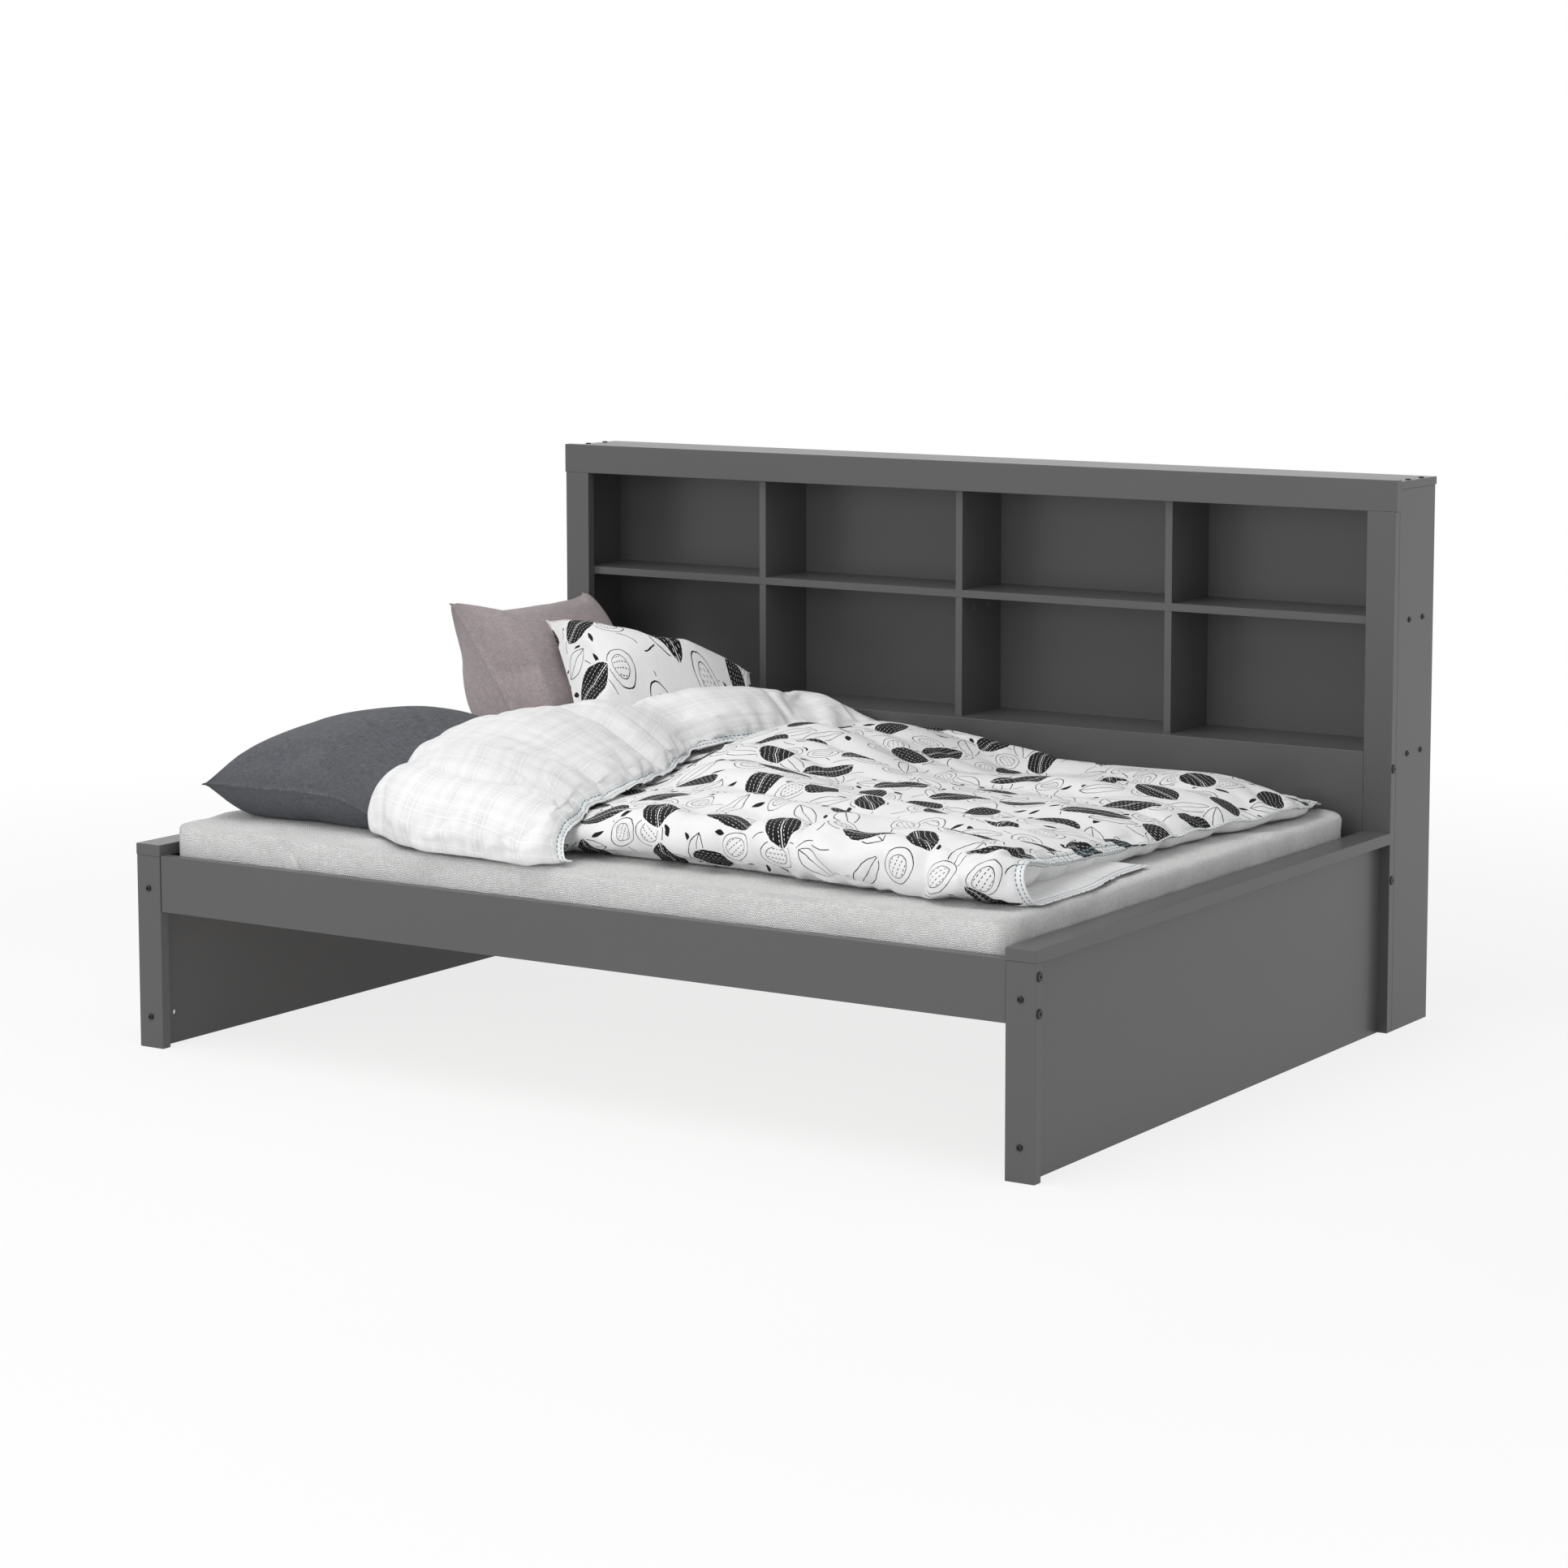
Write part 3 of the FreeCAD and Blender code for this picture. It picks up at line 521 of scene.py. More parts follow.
# spacing, randomness and shift of each layer, and the sizes of what it scatters
printLook = {
    "wobble": 0.007,
    "solids": {"scatter": (0.142, 0.4, (0.31, 0.12, 0)), "leaf": (0.125, 0.062),
               "pebble": (0.042, 2.2), "strokes": (0.0085, 0.0045, 0.00045), "used": 0.86},
    "outlines": {"scatter": (0.09, 0.5, (0.05, 0.4, 0)), "leaf": (0.09, 0.04),
                 "oval": (0.032, 1.7), "dots": (0.008, 0.0035, 0.0007)},
    "loose": {"scatter": (0.052, 0.7, (0.2, 0.2, 0)), "seed": (0.027, 0.0105), "bend": 9.0,
              "stem": 0.021, "used": 0.8},
}


# ink of a scattered print: dashed solid leaves, outlined pebbles, sprigs and seeds
def leafPrintGroup(look):
    tree, given, result = newGroup("leafPrint", [("Vector", "Vector")], {"Ink": "Float"})
    wobble = noiseOn(tree, given["Vector"], 38.0, output=1)
    flat = nudged(tree, given["Vector"], wobble, look["wobble"])

    solids = look["solids"]
    x, y, chance = scattered(tree, flat, *solids["scatter"])
    isPebble = moreThan(tree, chance[1], 0.62)
    edge = eitherOf(tree, isPebble, leafEdge(tree, x, y, *solids["leaf"]),
                    ovalEdge(tree, x, y, *solids["pebble"]))
    rib = times(tree, ring(tree, y, 0, 0.0008), minus(tree, 1, isPebble))
    white = larger(tree, dashes(tree, x, y, *solids["strokes"]), rib)
    used = lessThan(tree, chance[2], solids["used"])
    ink = times(tree, lessThan(tree, edge, 0.0), minus(tree, 1, white), used)
    clear = larger(tree, moreThan(tree, edge, 0.005), minus(tree, 1, used))

    outlines = look["outlines"]
    x, y, chance = scattered(tree, flat, *outlines["scatter"])
    isOval = moreThan(tree, chance[1], 0.45)
    line = eitherOf(tree, isOval, leafEdge(tree, x, y, *outlines["leaf"]),
                    ovalEdge(tree, x, y, *outlines["oval"]))
    dots = times(tree, lessThan(tree, line, -0.014), dashes(tree, x, y, *outlines["dots"]))
    veins = times(tree, lessThan(tree, line, 0.0), ring(tree, y, 0, 0.0008))
    detail = eitherOf(tree, isOval, veins, larger(tree, ring(tree, line, -0.012, 0.0007), dots))
    drawn = times(tree, larger(tree, ring(tree, line, 0, 0.0009), detail), clear)
    free = times(tree, clear, moreThan(tree, line, 0.006))

    loose = look["loose"]
    x, y, chance = scattered(tree, flat, *loose["scatter"])
    seed = lessThan(tree, leafEdge(tree, x, y, *loose["seed"]), 0.0)
    bent = minus(tree, y, times(tree, x, x, loose["bend"]))
    stem = times(tree, ring(tree, bent, 0, 0.0009),
                 lessThan(tree, calc(tree, "ABSOLUTE", x), loose["stem"]))
    isSeed = lessThan(tree, chance[1], 0.5)
    small = times(tree, eitherOf(tree, isSeed, stem, seed), free,
                  lessThan(tree, chance[2], loose["used"]))
    return giveOut(tree, result, Ink=larger(tree, ink, drawn, small))


# white on white woven check: broad faint bands and thin bright lines both ways
def softCheckGroup():
    tree, given, result = newGroup("softCheck", [("Vector", "Vector")],
                                   {"Band": "Float", "Line": "Float"})
    parts = partsOf(tree, given["Vector"])
    patchy = noiseOn(tree, given["Vector"], 9.0)
    bands, lines = [], []
    for axis, repeat, share in ((0, 0.074, 0.62), (1, 0.062, 0.38)):
        part = calc(tree, "FRACT", divided(tree, parts[axis], repeat))
        both = plus(tree, ring(tree, part, 0.24, 0.15), times(tree, ring(tree, part, 0.66, 0.06), 0.6))
        bands.append(times(tree, both, times(tree, patchy, 1.7 * share)))
        lines += [ring(tree, part, at, half) for at, half in
                  ((0.5, 0.013), (0.86, 0.01), (0.17, 0.012), (0.32, 0.008))]
    return giveOut(tree, result, Band=plus(tree, *bands), Line=larger(tree, *lines))


stitchLook = {"rows": (0.0065, 0.0145), "half": 0.001, "pitch": 0.0095, "dip": 0.005}


# two dashed rows beside a hem; the vector holds distance from it and place along it
def hemStitchGroup(look):
    tree, given, result = newGroup("hemStitch", [("Vector", "Vector")],
                                   {"Thread": "Float", "Dip": "Float"})
    away, along = partsOf(tree, given["Vector"])[:2]
    rows = larger(tree, *[ring(tree, away, row, look["half"]) for row in look["rows"]])
    stroke = lessThan(tree, calc(tree, "FRACT", divided(tree, along, look["pitch"])), 0.62)
    inner = calc(tree, "ABSOLUTE", minus(tree, away, look["rows"][1]))
    return giveOut(tree, result, Thread=times(tree, rows, stroke),
                   Dip=stretchedTo(tree, inner, 0.0, look["dip"]))


leafPrint = leafPrintGroup(printLook)
softCheck = softCheckGroup()
hemStitch = hemStitchGroup(stitchLook)


# last part of the duvet cottons: fine weave, creases, hem stitches and the cloth shader
def fineCotton(tree, flat, tint, hem=None):
    look = cottonLook
    weave = useGroup(tree, basketWeave, Vector=flat, Thread=look["thread"])
    crumple = noiseOn(tree, flat, 26.0, 5.0, Roughness=0.62)
    pulled = node(tree, "TexNoise",
                  {"Vector": flat, "Scale": 5.5, "Detail": 3.0, "Distortion": 0.7},
                  noise_type="RIDGED_MULTIFRACTAL").outputs[0]
    height = plus(tree, times(tree, weave["Height"], look["weave"]), crumple,
                  times(tree, pulled, look["pulled"]))
    bump = bumpFrom(tree, height, look["relief"], 0.6)
    if hem:
        stitch = useGroup(tree, hemStitch, Vector=hem)
        tint = mixColour(tree, stitch["Thread"], tint, duvetDye["thread"])
        bump = bumpFrom(tree, stitch["Dip"], look["stitchDip"], 0.8, Normal=bump)
    clothSurface(tree, tint, look["roughness"], bump, look["sheen"])


def printedCotton(name, hemmed):
    material, tree = newFinish(name)
    flat = clothSpot(tree)
    ink = useGroup(tree, leafPrint, Vector=flat)["Ink"]
    tint = mixColour(tree, ink, duvetDye["white"], duvetDye["ink"])
    fineCotton(tree, flat, tint, clothSpot(tree, "hem") if hemmed else None)
    return material


def checkedCotton():
    material, tree = newFinish("checkedCotton")
    flat = clothSpot(tree)
    check = useGroup(tree, softCheck, Vector=flat)
    tint = mixColour(tree, check["Band"], duvetDye["white"], duvetDye["band"])
    tint = mixColour(tree, check["Line"], tint, duvetDye["line"])
    fineCotton(tree, flat, tint, clothSpot(tree, "hem"))
    return material


# what every soft piece is made with

# a flat square of cloth, its x and y running from 0 to 1
def sheetGrid(columns, rows):
    mesh = bmesh.new()
    bmesh.ops.create_grid(mesh, x_segments=columns, y_segments=rows, size=0.5)
    bmesh.ops.translate(mesh, vec=(0.5, 0.5, 0), verts=mesh.verts)
    return mesh


# write a pair of numbers for each vertex, in metres, to a UV map
def keepFlat(mesh, name, flatAt):
    flat = mesh.loops.layers.uv.new(name)
    for face in mesh.faces:
        for loop in face.loops:
            loop[flat].uv = flatAt(loop.vert)


# let the cloth swell and wrinkle, then keep the result with its moves capped;
# pattern gives the places of the vertices on the uncut cloth, where that is known
def settle(piece, look, pin=None, pattern=None):
    scene = bpy.context.scene
    before = [v.co.copy() for v in piece.data.vertices]
    if pattern:
        piece.shape_key_add(name="Basis")
        cut = piece.shape_key_add(name="pattern")
        for i, spot in enumerate(pattern):
            cut.data[i].co = spot
    cloth = piece.modifiers.new("settle", "CLOTH")
    settings = cloth.settings
    settings.quality = look["quality"]
    settings.mass = look["mass"]
    settings.tension_stiffness = look["stretch"]
    settings.compression_stiffness = look["stretch"]
    settings.shear_stiffness = look["shear"]
    settings.bending_stiffness = look["bend"]
    settings.use_pressure = True
    settings.uniform_pressure_force = look["pressure"]
    settings.shrink_min = look["shrink"]
    settings.effector_weights.gravity = 0
    cloth.collision_settings.use_collision = False
    if pattern:
        settings.rest_shape_key = cut
    if pin:
        settings.vertex_group_mass = pin
        settings.pin_stiffness = 1.0
    cloth.point_cache.frame_start, cloth.point_cache.frame_end = 1, look["frames"]
    for step in range(1, look["frames"] + 1):
        scene.frame_set(step)
    seen = piece.evaluated_get(bpy.context.evaluated_depsgraph_get()).to_mesh()
    after = [v.co.copy() for v in seen.vertices]
    piece.modifiers.remove(cloth)
    scene.frame_set(1)
    if pattern:
        piece.shape_key_clear()
    for vertex, old, new in zip(piece.data.vertices, before, after):
        step = new - old
        if step.length > look["cap"]:
            step *= look["cap"] / step.length
        vertex.co = old + step


def smoothStep(value, low, high):
    t = min(max((value - low) / (high - low), 0.0), 1.0)
    return t * t * (3 - 2 * t)


# a smooth value between rows of (share, value, value, ...), by Catmull-Rom
def alongRows(rows, column, share):
    for i in range(len(rows) - 1):
        if share <= rows[i + 1][0]:
            break
    low, high = rows[i], rows[i + 1]
    before, after = rows[max(i - 1, 0)], rows[min(i + 2, len(rows) - 1)]
    t = min(max((share - low[0]) / (high[0] - low[0]), 0.0), 1.0)
    a, b, c, d = before[column], low[column], high[column], after[column]
    return 0.5 * (2 * b + (c - a) * t + (2 * a - 5 * b + 4 * c - d) * t * t
                  + (3 * b - a - 3 * c + d) * t ** 3)


# rounded swells with sharper valleys between them, from 0 to about 1
def puffs(x, y, seed):
    return min(abs(noise.noise(Vector((x, y, seed)))) * 2.2, 1.2)


# press a soft groove into a piece along a line
def crease(piece, start, end, depth, width):
    start, end = Vector(start), Vector(end)
    line = end - start
    for vertex in piece.data.vertices:
        t = min(max((vertex.co - start).dot(line) / line.length_squared, 0.0), 1.0)
        away = (vertex.co - start - line * t).length / width
        if away < 3:
            vertex.co -= vertex.normal * depth * math.exp(-away * away) * (1 - (2 * t - 1) ** 4)


def subdivided(piece, levels):
    smoother = piece.modifiers.new("smoother", "SUBSURF")
    smoother.levels = smoother.render_levels = levels


# flatten what would sink into the mattress
def restOnMattress(piece, gap=0.0012):
    for vertex in piece.data.vertices:
        if vertex.co.z < mattressTop + gap and vertex.co.y > railSide:
            vertex.co.z = mattressTop + gap


def placePiece(piece, body, replaced):
    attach(piece, body)
    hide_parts(replaced)


# the duvet's lie, which the pillows under it follow

# share of the mattress width from the rail side; folded edge and hem, from the head end;
# gap between the duvet and the foot end
duvetRows = [(0.002, 0.55, 0.97, 0.03), (0.03, 0.51, 0.95, 0.03), (0.078, 0.463, 0.91, 0.033),
             (0.189, 0.416, 0.83, 0.055), (0.342, 0.405, 0.785, 0.082),
             (0.509, 0.39, 0.71, 0.08), (0.60, 0.42, 0.655, 0.078), (0.67, 0.445, 0.61, 0.066),
             (0.759, 0.48, 0.66, 0.046), (0.885, 0.53, 0.73, 0.034), (0.998, 0.55, 0.83, 0.078)]

# rise of the spread part above the mattress, by share of the width, at these parts of the
# way from the hem to the foot
riseParts = (0.0, 0.12, 0.25, 0.45, 0.7, 0.88, 1.0)
duvetRises = [(0.06, 0.045, 0.070, 0.080, 0.088, 0.090, 0.092, 0.090),
              (0.30, 0.050, 0.085, 0.092, 0.076, 0.070, 0.070, 0.056),
              (0.50, 0.050, 0.098, 0.106, 0.072, 0.066, 0.066, 0.045),
              (0.70, 0.052, 0.100, 0.108, 0.058, 0.056, 0.060, 0.042),
              (0.85, 0.060, 0.110, 0.098, 0.038, 0.048, 0.056, 0.041),
              (1.00, 0.058, 0.086, 0.062, 0.034, 0.038, 0.040, 0.034)]

# rise of the folded back end above the mattress, by share of the width, at these parts of
# the way from its hem to its folded edge
foldParts = (0.0, 0.25, 0.5, 0.75, 1.0)
foldRises = [(0.03, 0.062, 0.085, 0.105, 0.100, 0.074), (0.094, 0.074, 0.105, 0.134, 0.138, 0.120),
             (0.19, 0.084, 0.120, 0.150, 0.160, 0.150), (0.34, 0.086, 0.124, 0.160, 0.182, 0.174),
             (0.50, 0.086, 0.122, 0.156, 0.180, 0.174), (0.67, 0.092, 0.126, 0.156, 0.174, 0.168),
             (0.82, 0.098, 0.130, 0.154, 0.168, 0.162), (1.00, 0.092, 0.114, 0.132, 0.136, 0.128)]

duvetLook = {
    "loft": 0.03,               # thickness before it swells
    "hemLoft": 0.004,
    "band": 0.016,              # flat stitched border
    "stiffHem": 0.012,          # this close to a hem the cloth is held still
    "edgeRound": 0.05,          # over this width the filling reaches its full thickness
    "plump": 0.026,             # more filling just behind a hem
    "foldRadius": 0.016,
    "tuck": 0.16,               # hidden cloth beyond the folded edge
    "drop": 0.1,                # how far back the front end starts to roll down
    "underStrip": 0.45,         # cloth folded under along the rail side
    "overlap": 0.13,            # how far the spread part runs in under the folded back end
    "frontBend": 0.045,
    "frontTurn": 0.045,         # radius along which the cloth round the front bend is measured
    "underLoft": 0.4,
    "swell": {"quality": 5, "mass": 0.25, "stretch": 16.0, "shear": 4.0, "bend": 0.04,
              "pressure": 1.8, "shrink": -0.09, "frames": 20, "cap": 0.013},
}


def shareAt(y):
    return (y - railSide) / (panelSide - railSide)


# the same, kept to where the rows of the folded back end begin
def foldShareAt(y):
    return max(min(shareAt(y), 1.0), foldRises[0][0])


def hemAt(share):
    return headEnd + alongRows(duvetRows, 2, share)


def edgeAt(share):
    return headEnd + alongRows(duvetRows, 1, share)


# a rise read from a table with one row for each share and one column for each part
def riseFrom(parts, rises, share, part):
    row = [(parts[i], alongRows(rises, i + 1, share)) for i in range(len(parts))]
    return alongRows(row, 1, min(max(part, 0.0), 1.0))


# extra thickness behind a hem, where the filling has shifted outwards
def plumpBehind(away):
    return duvetLook["plump"] * smoothStep(away, 0.006, 0.05) * (1 - smoothStep(away, 0.07, 0.19))


# upper surface of the folded back end
def foldTop(x, y):
    share = foldShareAt(y)
    hem, edge = hemAt(share), edgeAt(share)
    part = (hem - x) / (hem - edge - duvetLook["foldRadius"])
    broad = 0.008 * (puffs(x * 5 + y * 1.5, y * 3.5 - x * 2, 1.7) - 0.4)
    small = 0.004 * (puffs(x * 7 - y * 6, y * 12 + x * 3, 4.2) - 0.4)
    swell = (broad + small) * (1 - 0.6 * smoothStep(share, 0.6, 0.85))
    return mattressTop + riseFrom(foldParts, foldRises, share, part) + swell


# top of the spread part above the mattress
def spreadRise(x, y):
    share = min(max(shareAt(y), 0.0), 1.0)
    hem = hemAt(share)
    foot = footEnd - alongRows(duvetRows, 3, share)
    part = min(max((x - hem) / (foot - hem), 0.0), 1.0)
    folds = 0.020 * (puffs(x * 1.2 - y * 0.9, y * 6.0 + x * 1.5, 3.1) - 0.45) \
        + 0.008 * (puffs(x * 4 + y, y * 13 + x * 3, 8.3) - 0.4)
    gathers = 0.014 * (puffs(x * 10 + y * 2, y * 3.0, 5.7) - 0.4) \
        * (1 - smoothStep(share, 0.08, 0.26))
    fade = smoothStep(part, 0.0, 0.12) * (1 - 0.65 * smoothStep(part, 0.75, 1.0))
    return riseFrom(riseParts, duvetRises, share, part) + (folds + gathers) * fade


# pillows

pillowCommon = {
    "lean": 0,                  # degrees, as are turn and spin
    "turn": 0,
    "spin": 0,
    "shift": (0, 0),            # from the middle of the node's place
    "height": None,             # of the middle, or None to lie on the mattress
    "grid": 0.0105,
    "curl": 0.0,                # how far the rail side's seam turns forwards
    "bulge": (0, 0),            # and how far the back swells past it
    "ease": 1.16,               # the cloth is cut this much larger
    "slump": 0,
    "sag": 0,
    "sink": 0.004,
    "fill": {"quality": 6, "mass": 0.3, "stretch": 24.0, "shear": 8.0, "bend": 0.08,
             "pressure": 3.5, "shrink": 0.0, "frames": 22, "cap": 0.016},
}

# rises and full are for the upper and lower side; release is how the weight of the duvet
# fades beside it; a crease is start, end, depth and width
slatePillowLook = {
    **pillowCommon,
    "node": "dark_pillow", "seed": 2, "size": 0.487, "span": 0.68, "rises": (0.108, 0.072),
    "full": (2.3, 4.5), "pinch": 0.035, "shift": (0.027, 0), "sink": 0.024,
    "release": (0.25, 1.6),
    "creases": [((0.13, 0.04, 0.11), (0.17, -0.16, 0.1), 0.011, 0.024),
                ((-0.13, -0.337, 0.0), (-0.115, -0.305, -0.05), 0.006, 0.009),
                ((-0.02, -0.337, 0.0), (-0.03, -0.3, -0.055), 0.006, 0.01),
                ((0.055, -0.337, 0.0), (0.075, -0.305, -0.05), 0.006, 0.008)],
}
mauveCushionLook = {
    **pillowCommon,
    "node": "mauve_cushion", "seed": 5, "size": 0.42, "span": 0.475, "rises": (0.085, 0.075),
    "full": (3.4, 3.4), "pinch": 0.09, "lean": 54, "turn": -4, "grid": 0.0095, "curl": 0.02,
    "bulge": (0.045, 0.03), "sink": 0.024, "release": (1.2, 6.0),
    "creases": [((-0.03, -0.23, 0.03), (0.05, -0.08, 0.085), 0.007, 0.016),
                ((-0.19, -0.21, 0.01), (-0.09, -0.1, 0.08), 0.006, 0.014),
                ((0.08, -0.225, 0.03), (0.07, -0.1, 0.085), 0.006, 0.013),
                ((-0.19, 0.06, 0.03), (-0.08, 0.05, 0.08), 0.005, 0.014),
                ((0.09, -0.25, -0.04), (0.12, -0.22, -0.1), 0.018, 0.018),
                ((0.0, -0.25, -0.02), (0.01, -0.22, -0.08), 0.007, 0.01)],
}
patternedPillowLook = {
    **pillowCommon,
    "node": "print_pillow", "seed": 9, "size": 0.45, "span": 0.47, "rises": (0.078, 0.062),
    "full": (3.0, 3.0), "pinch": 0.045, "lean": 38, "turn": -30, "spin": -20,
    "shift": (0.045, -0.118), "height": 0.585, "ease": 1.15, "slump": 0.2, "sag": 0.85,
    "release": (1.2, 6.0),
    "creases": [((-0.02, -0.2, 0.03), (0.05, -0.07, 0.078), 0.006, 0.014),
                ((-0.2, 0.05, 0.02), (-0.1, 0.03, 0.075), 0.005, 0.012)],
}
seamGap = 0.0015                # half the distance between the two cloths at the seam
welt = 0.0045                   # how far the seam stands out


# place on a stuffed pillow for s and t from -1 to 1, on its upper or lower side
def pillowPoint(s, t, side, look):
    u, v = math.sin(s * math.pi / 2), math.sin(t * math.pi / 2)
    power, rise = [look[name][0 if side > 0 else 1] for name in ("full", "rises")]
    full = max((1 - abs(u) ** power) * (1 - abs(v) ** power), 0.0) ** 0.5
    x = u * look["size"] / 2 * (1 - look["pinch"] * (1 - v * v) * u * u)
    y = v * look["span"] / 2 * (1 - look["pinch"] * (1 - u * u) * v * v)
    lump = noise.noise(Vector((u * 1.6, v * 1.6, side + look["seed"])))
    z = side * (seamGap + rise * full * (1 + 0.1 * lump))
    z += look["curl"] * smoothStep(-v, 0.5, 1.0)
    if side < 0 and v < -0.4:
        swell = math.sin(math.pi * (1 + v) / 0.6) * smoothStep(u, -1.0, 0.1)
        z, y = z - look["bulge"][0] * swell, y - look["bulge"][1] * swell
    return Vector((x, y + look["slump"] * (x + look["size"] / 2), z))


# two squares of cloth sewn round the edge and filled, laid in the place of the node
def stuffedPillow(name, look):
    columns, rows = round(look["size"] / look["grid"]), round(look["span"] / look["grid"])
    halfX, halfY = look["size"] / 2 * look["ease"], look["span"] / 2 * look["ease"]
    mesh = sheetGrid(columns, rows)
    lower = bmesh.ops.duplicate(mesh, geom=mesh.verts[:] + mesh.edges[:] + mesh.faces[:])["geom"]
    lowerVerts = {g for g in lower if isinstance(g, bmesh.types.BMVert)}
    bmesh.ops.reverse_faces(mesh, faces=[g for g in lower if isinstance(g, bmesh.types.BMFace)])
    cut = {}
    for vertex in mesh.verts:
        s, t = vertex.co.x * 2 - 1, vertex.co.y * 2 - 1
        side = -1 if vertex in lowerVerts else 1
        cut[vertex] = Vector((s * halfX, t * halfY, side * seamGap))
        vertex.co = pillowPoint(s, t, side, look)
    bmesh.ops.bridge_loops(mesh, edges=[edge for edge in mesh.edges if edge.is_boundary])
    bmesh.ops.recalc_face_normals(mesh, faces=mesh.faces)
    shift = Vector((0.11, 0.07)) * look["seed"]          # each pillow is cut from other cloth
    keepFlat(mesh, "cloth", lambda vertex: cut[vertex].xy + shift)
    rim = {i for i, vertex in enumerate(mesh.verts)
           if abs(cut[vertex].x) > halfX - 1e-4 or abs(cut[vertex].y) > halfY - 1e-4}
    pattern = [cut[vertex] for vertex in mesh.verts]
    made = pieceFrom(mesh, name)
    settle(made, look["fill"], pattern=pattern)
    vertices = made.data.vertices
    for i in rim:
        spot = vertices[i].co
        spot.x += math.copysign(welt, spot.x)
        spot.y += math.copysign(welt, spot.y)
    for start, end, depth, width in look["creases"]:
        crease(made, start, end, depth, width)
    turn, lean, spin = [Matrix.Rotation(math.radians(look[name]), 4, axis)
                        for name, axis in (("turn", "Z"), ("lean", "Y"), ("spin", "Z"))]
    made.data.transform(turn @ lean @ spin)
    boxLow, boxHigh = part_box(look["node"])
    middle = (boxLow + boxHigh) / 2 + Vector((*look["shift"], 0))
    if look["height"] is None:
        own = [(max(v.co[i] for v in vertices) + min(v.co[i] for v in vertices)) / 2
               for i in (0, 1)]
        middle -= Vector((*own, 0))
        middle.z = mattressTop - min(v.co.z for v in vertices) - look["sink"]
    else:
        middle.z = look["height"]
    made.data.transform(Matrix.Translation(middle))
    for vertex in vertices:                              # the far end droops
        vertex.co.z -= look["sag"] * max(vertex.co.y - 0.4, 0) ** 2
    print("pillow filled:", name)
    return made


# the folded back end weighs on the pillows and flattens them
def pressUnderFold(piece, release):
    look = duvetLook
    thick = 2 * look["foldRadius"] + look["loft"] + 0.006    # with a little air below it
    soft = 0.014                                             # how gently the press sets in
    for vertex in piece.data.vertices:
        x, y, z = vertex.co
        share = foldShareAt(y)
        beside = max(edgeAt(share) - x, 0.0)
        limit = foldTop(min(max(x, edgeAt(share)), hemAt(share)), y) - thick \
            + release[0] * beside + release[1] * beside * beside
        if z > limit - 0.06:
            vertex.co.z = z - soft * math.log(1 + math.exp(min((z - limit) / soft, 40)))


def makePillows():
    pillows = [("slatePillow", "slate_linen", slatePillowLook),
               ("mauveCushion", "mauve_cotton", mauveCushionLook),
               ("patternedPillow", "printed_cotton", patternedPillowLook)]
    pieces = [stuffedPillow(name, look) for name, slot, look in pillows]
    finishes = [wovenCloth("slateLinen", slateLook), wovenCloth("mauveCotton", mauveLook),
                printedCotton("patternedPillowcase", False)]
    for piece, finish, (name, slot, look) in zip(pieces, finishes, pillows):
        pressUnderFold(piece, look["release"])
        restOnMattress(piece)
        piece.data.materials.append(finish)
        placePiece(piece, "bed_mattress", look["node"])
        subdivided(piece, 1)


# mattress and fitted sheet

sheetShape = {
    # by (towards the foot, towards the panel)
    "corners": {(False, False): 0.03, (True, False): 0.04, (False, True): 0.05, (True, True): 0.1},
    "edge": 0.016, "pitch": 0.0105, "thick": 0.0012, "dent": 0.003, "wrinkle": 0.0026,
    "creases": [((-0.74, -0.69, 0.452), (-0.67, -0.775, 0.445), 0.005, 0.009),
                ((-0.668, -0.782, 0.44), (-0.61, -0.782, 0.35), 0.006, 0.009)],
    "coreInset": 0.006, "coreDrop": 0.008, "corePitch": 0.03,
}


# a mattress shape: a gridded box whose upright edges and rims are rounded
def roundedBox(low, high, look, pitch):
    corners, edge = look["corners"], look["edge"]
    size, middle = high - low, (high + low) / 2
    half = size / 2
    mesh = bmesh.new()
    bmesh.ops.create_cube(mesh, size=1.0)
    bmesh.ops.scale(mesh, vec=size, verts=mesh.verts)
    for axis in range(3):
        along = [line for line in mesh.edges
                 if abs(line.verts[0].co[axis] - line.verts[1].co[axis]) > 1e-6]
        bmesh.ops.subdivide_edges(mesh, edges=along, cuts=round(size[axis] / pitch) - 1,
                                  use_grid_fill=True)
    flat = mesh.loops.layers.uv.new("cloth")
    for face in mesh.faces:                              # each side unfolds from the top
        away = face.calc_center_median()
        for loop in face.loops:
            x, y, z = loop.vert.co
            if abs(away.x) > half.x - 1e-4:
                x += math.copysign(half.z - z, x)
            elif abs(away.y) > half.y - 1e-4:
                y += math.copysign(half.z - z, y)
            loop[flat].uv = (x, y)
    for vertex in mesh.verts:
        spot = vertex.co.copy()
        corner = corners[spot.x > 0, spot.y > 0]
        core = Vector((max(min(spot.x, half.x - corner), corner - half.x),
                       max(min(spot.y, half.y - corner), corner - half.y), 0))
        side = Vector((spot.x, spot.y, 0)) - core
        reach = max(abs(side.x), abs(side.y))
        if reach > 1e-6:
            side = side.normalized() * reach
            inward = max(reach - (corner - edge), 0) / edge
            rim = max(abs(spot.z) - (half.z - edge), 0) / edge
            if inward > 0 and rim > 0:
                scale = max(inward, rim) / math.hypot(inward, rim)
                side = side.normalized() * (corner - edge + edge * inward * scale)
                spot.z = math.copysign(half.z - edge + edge * rim * scale, spot.z)
        vertex.co = core + side + middle + Vector((0, 0, spot.z))
    mesh.normal_update()
    return mesh


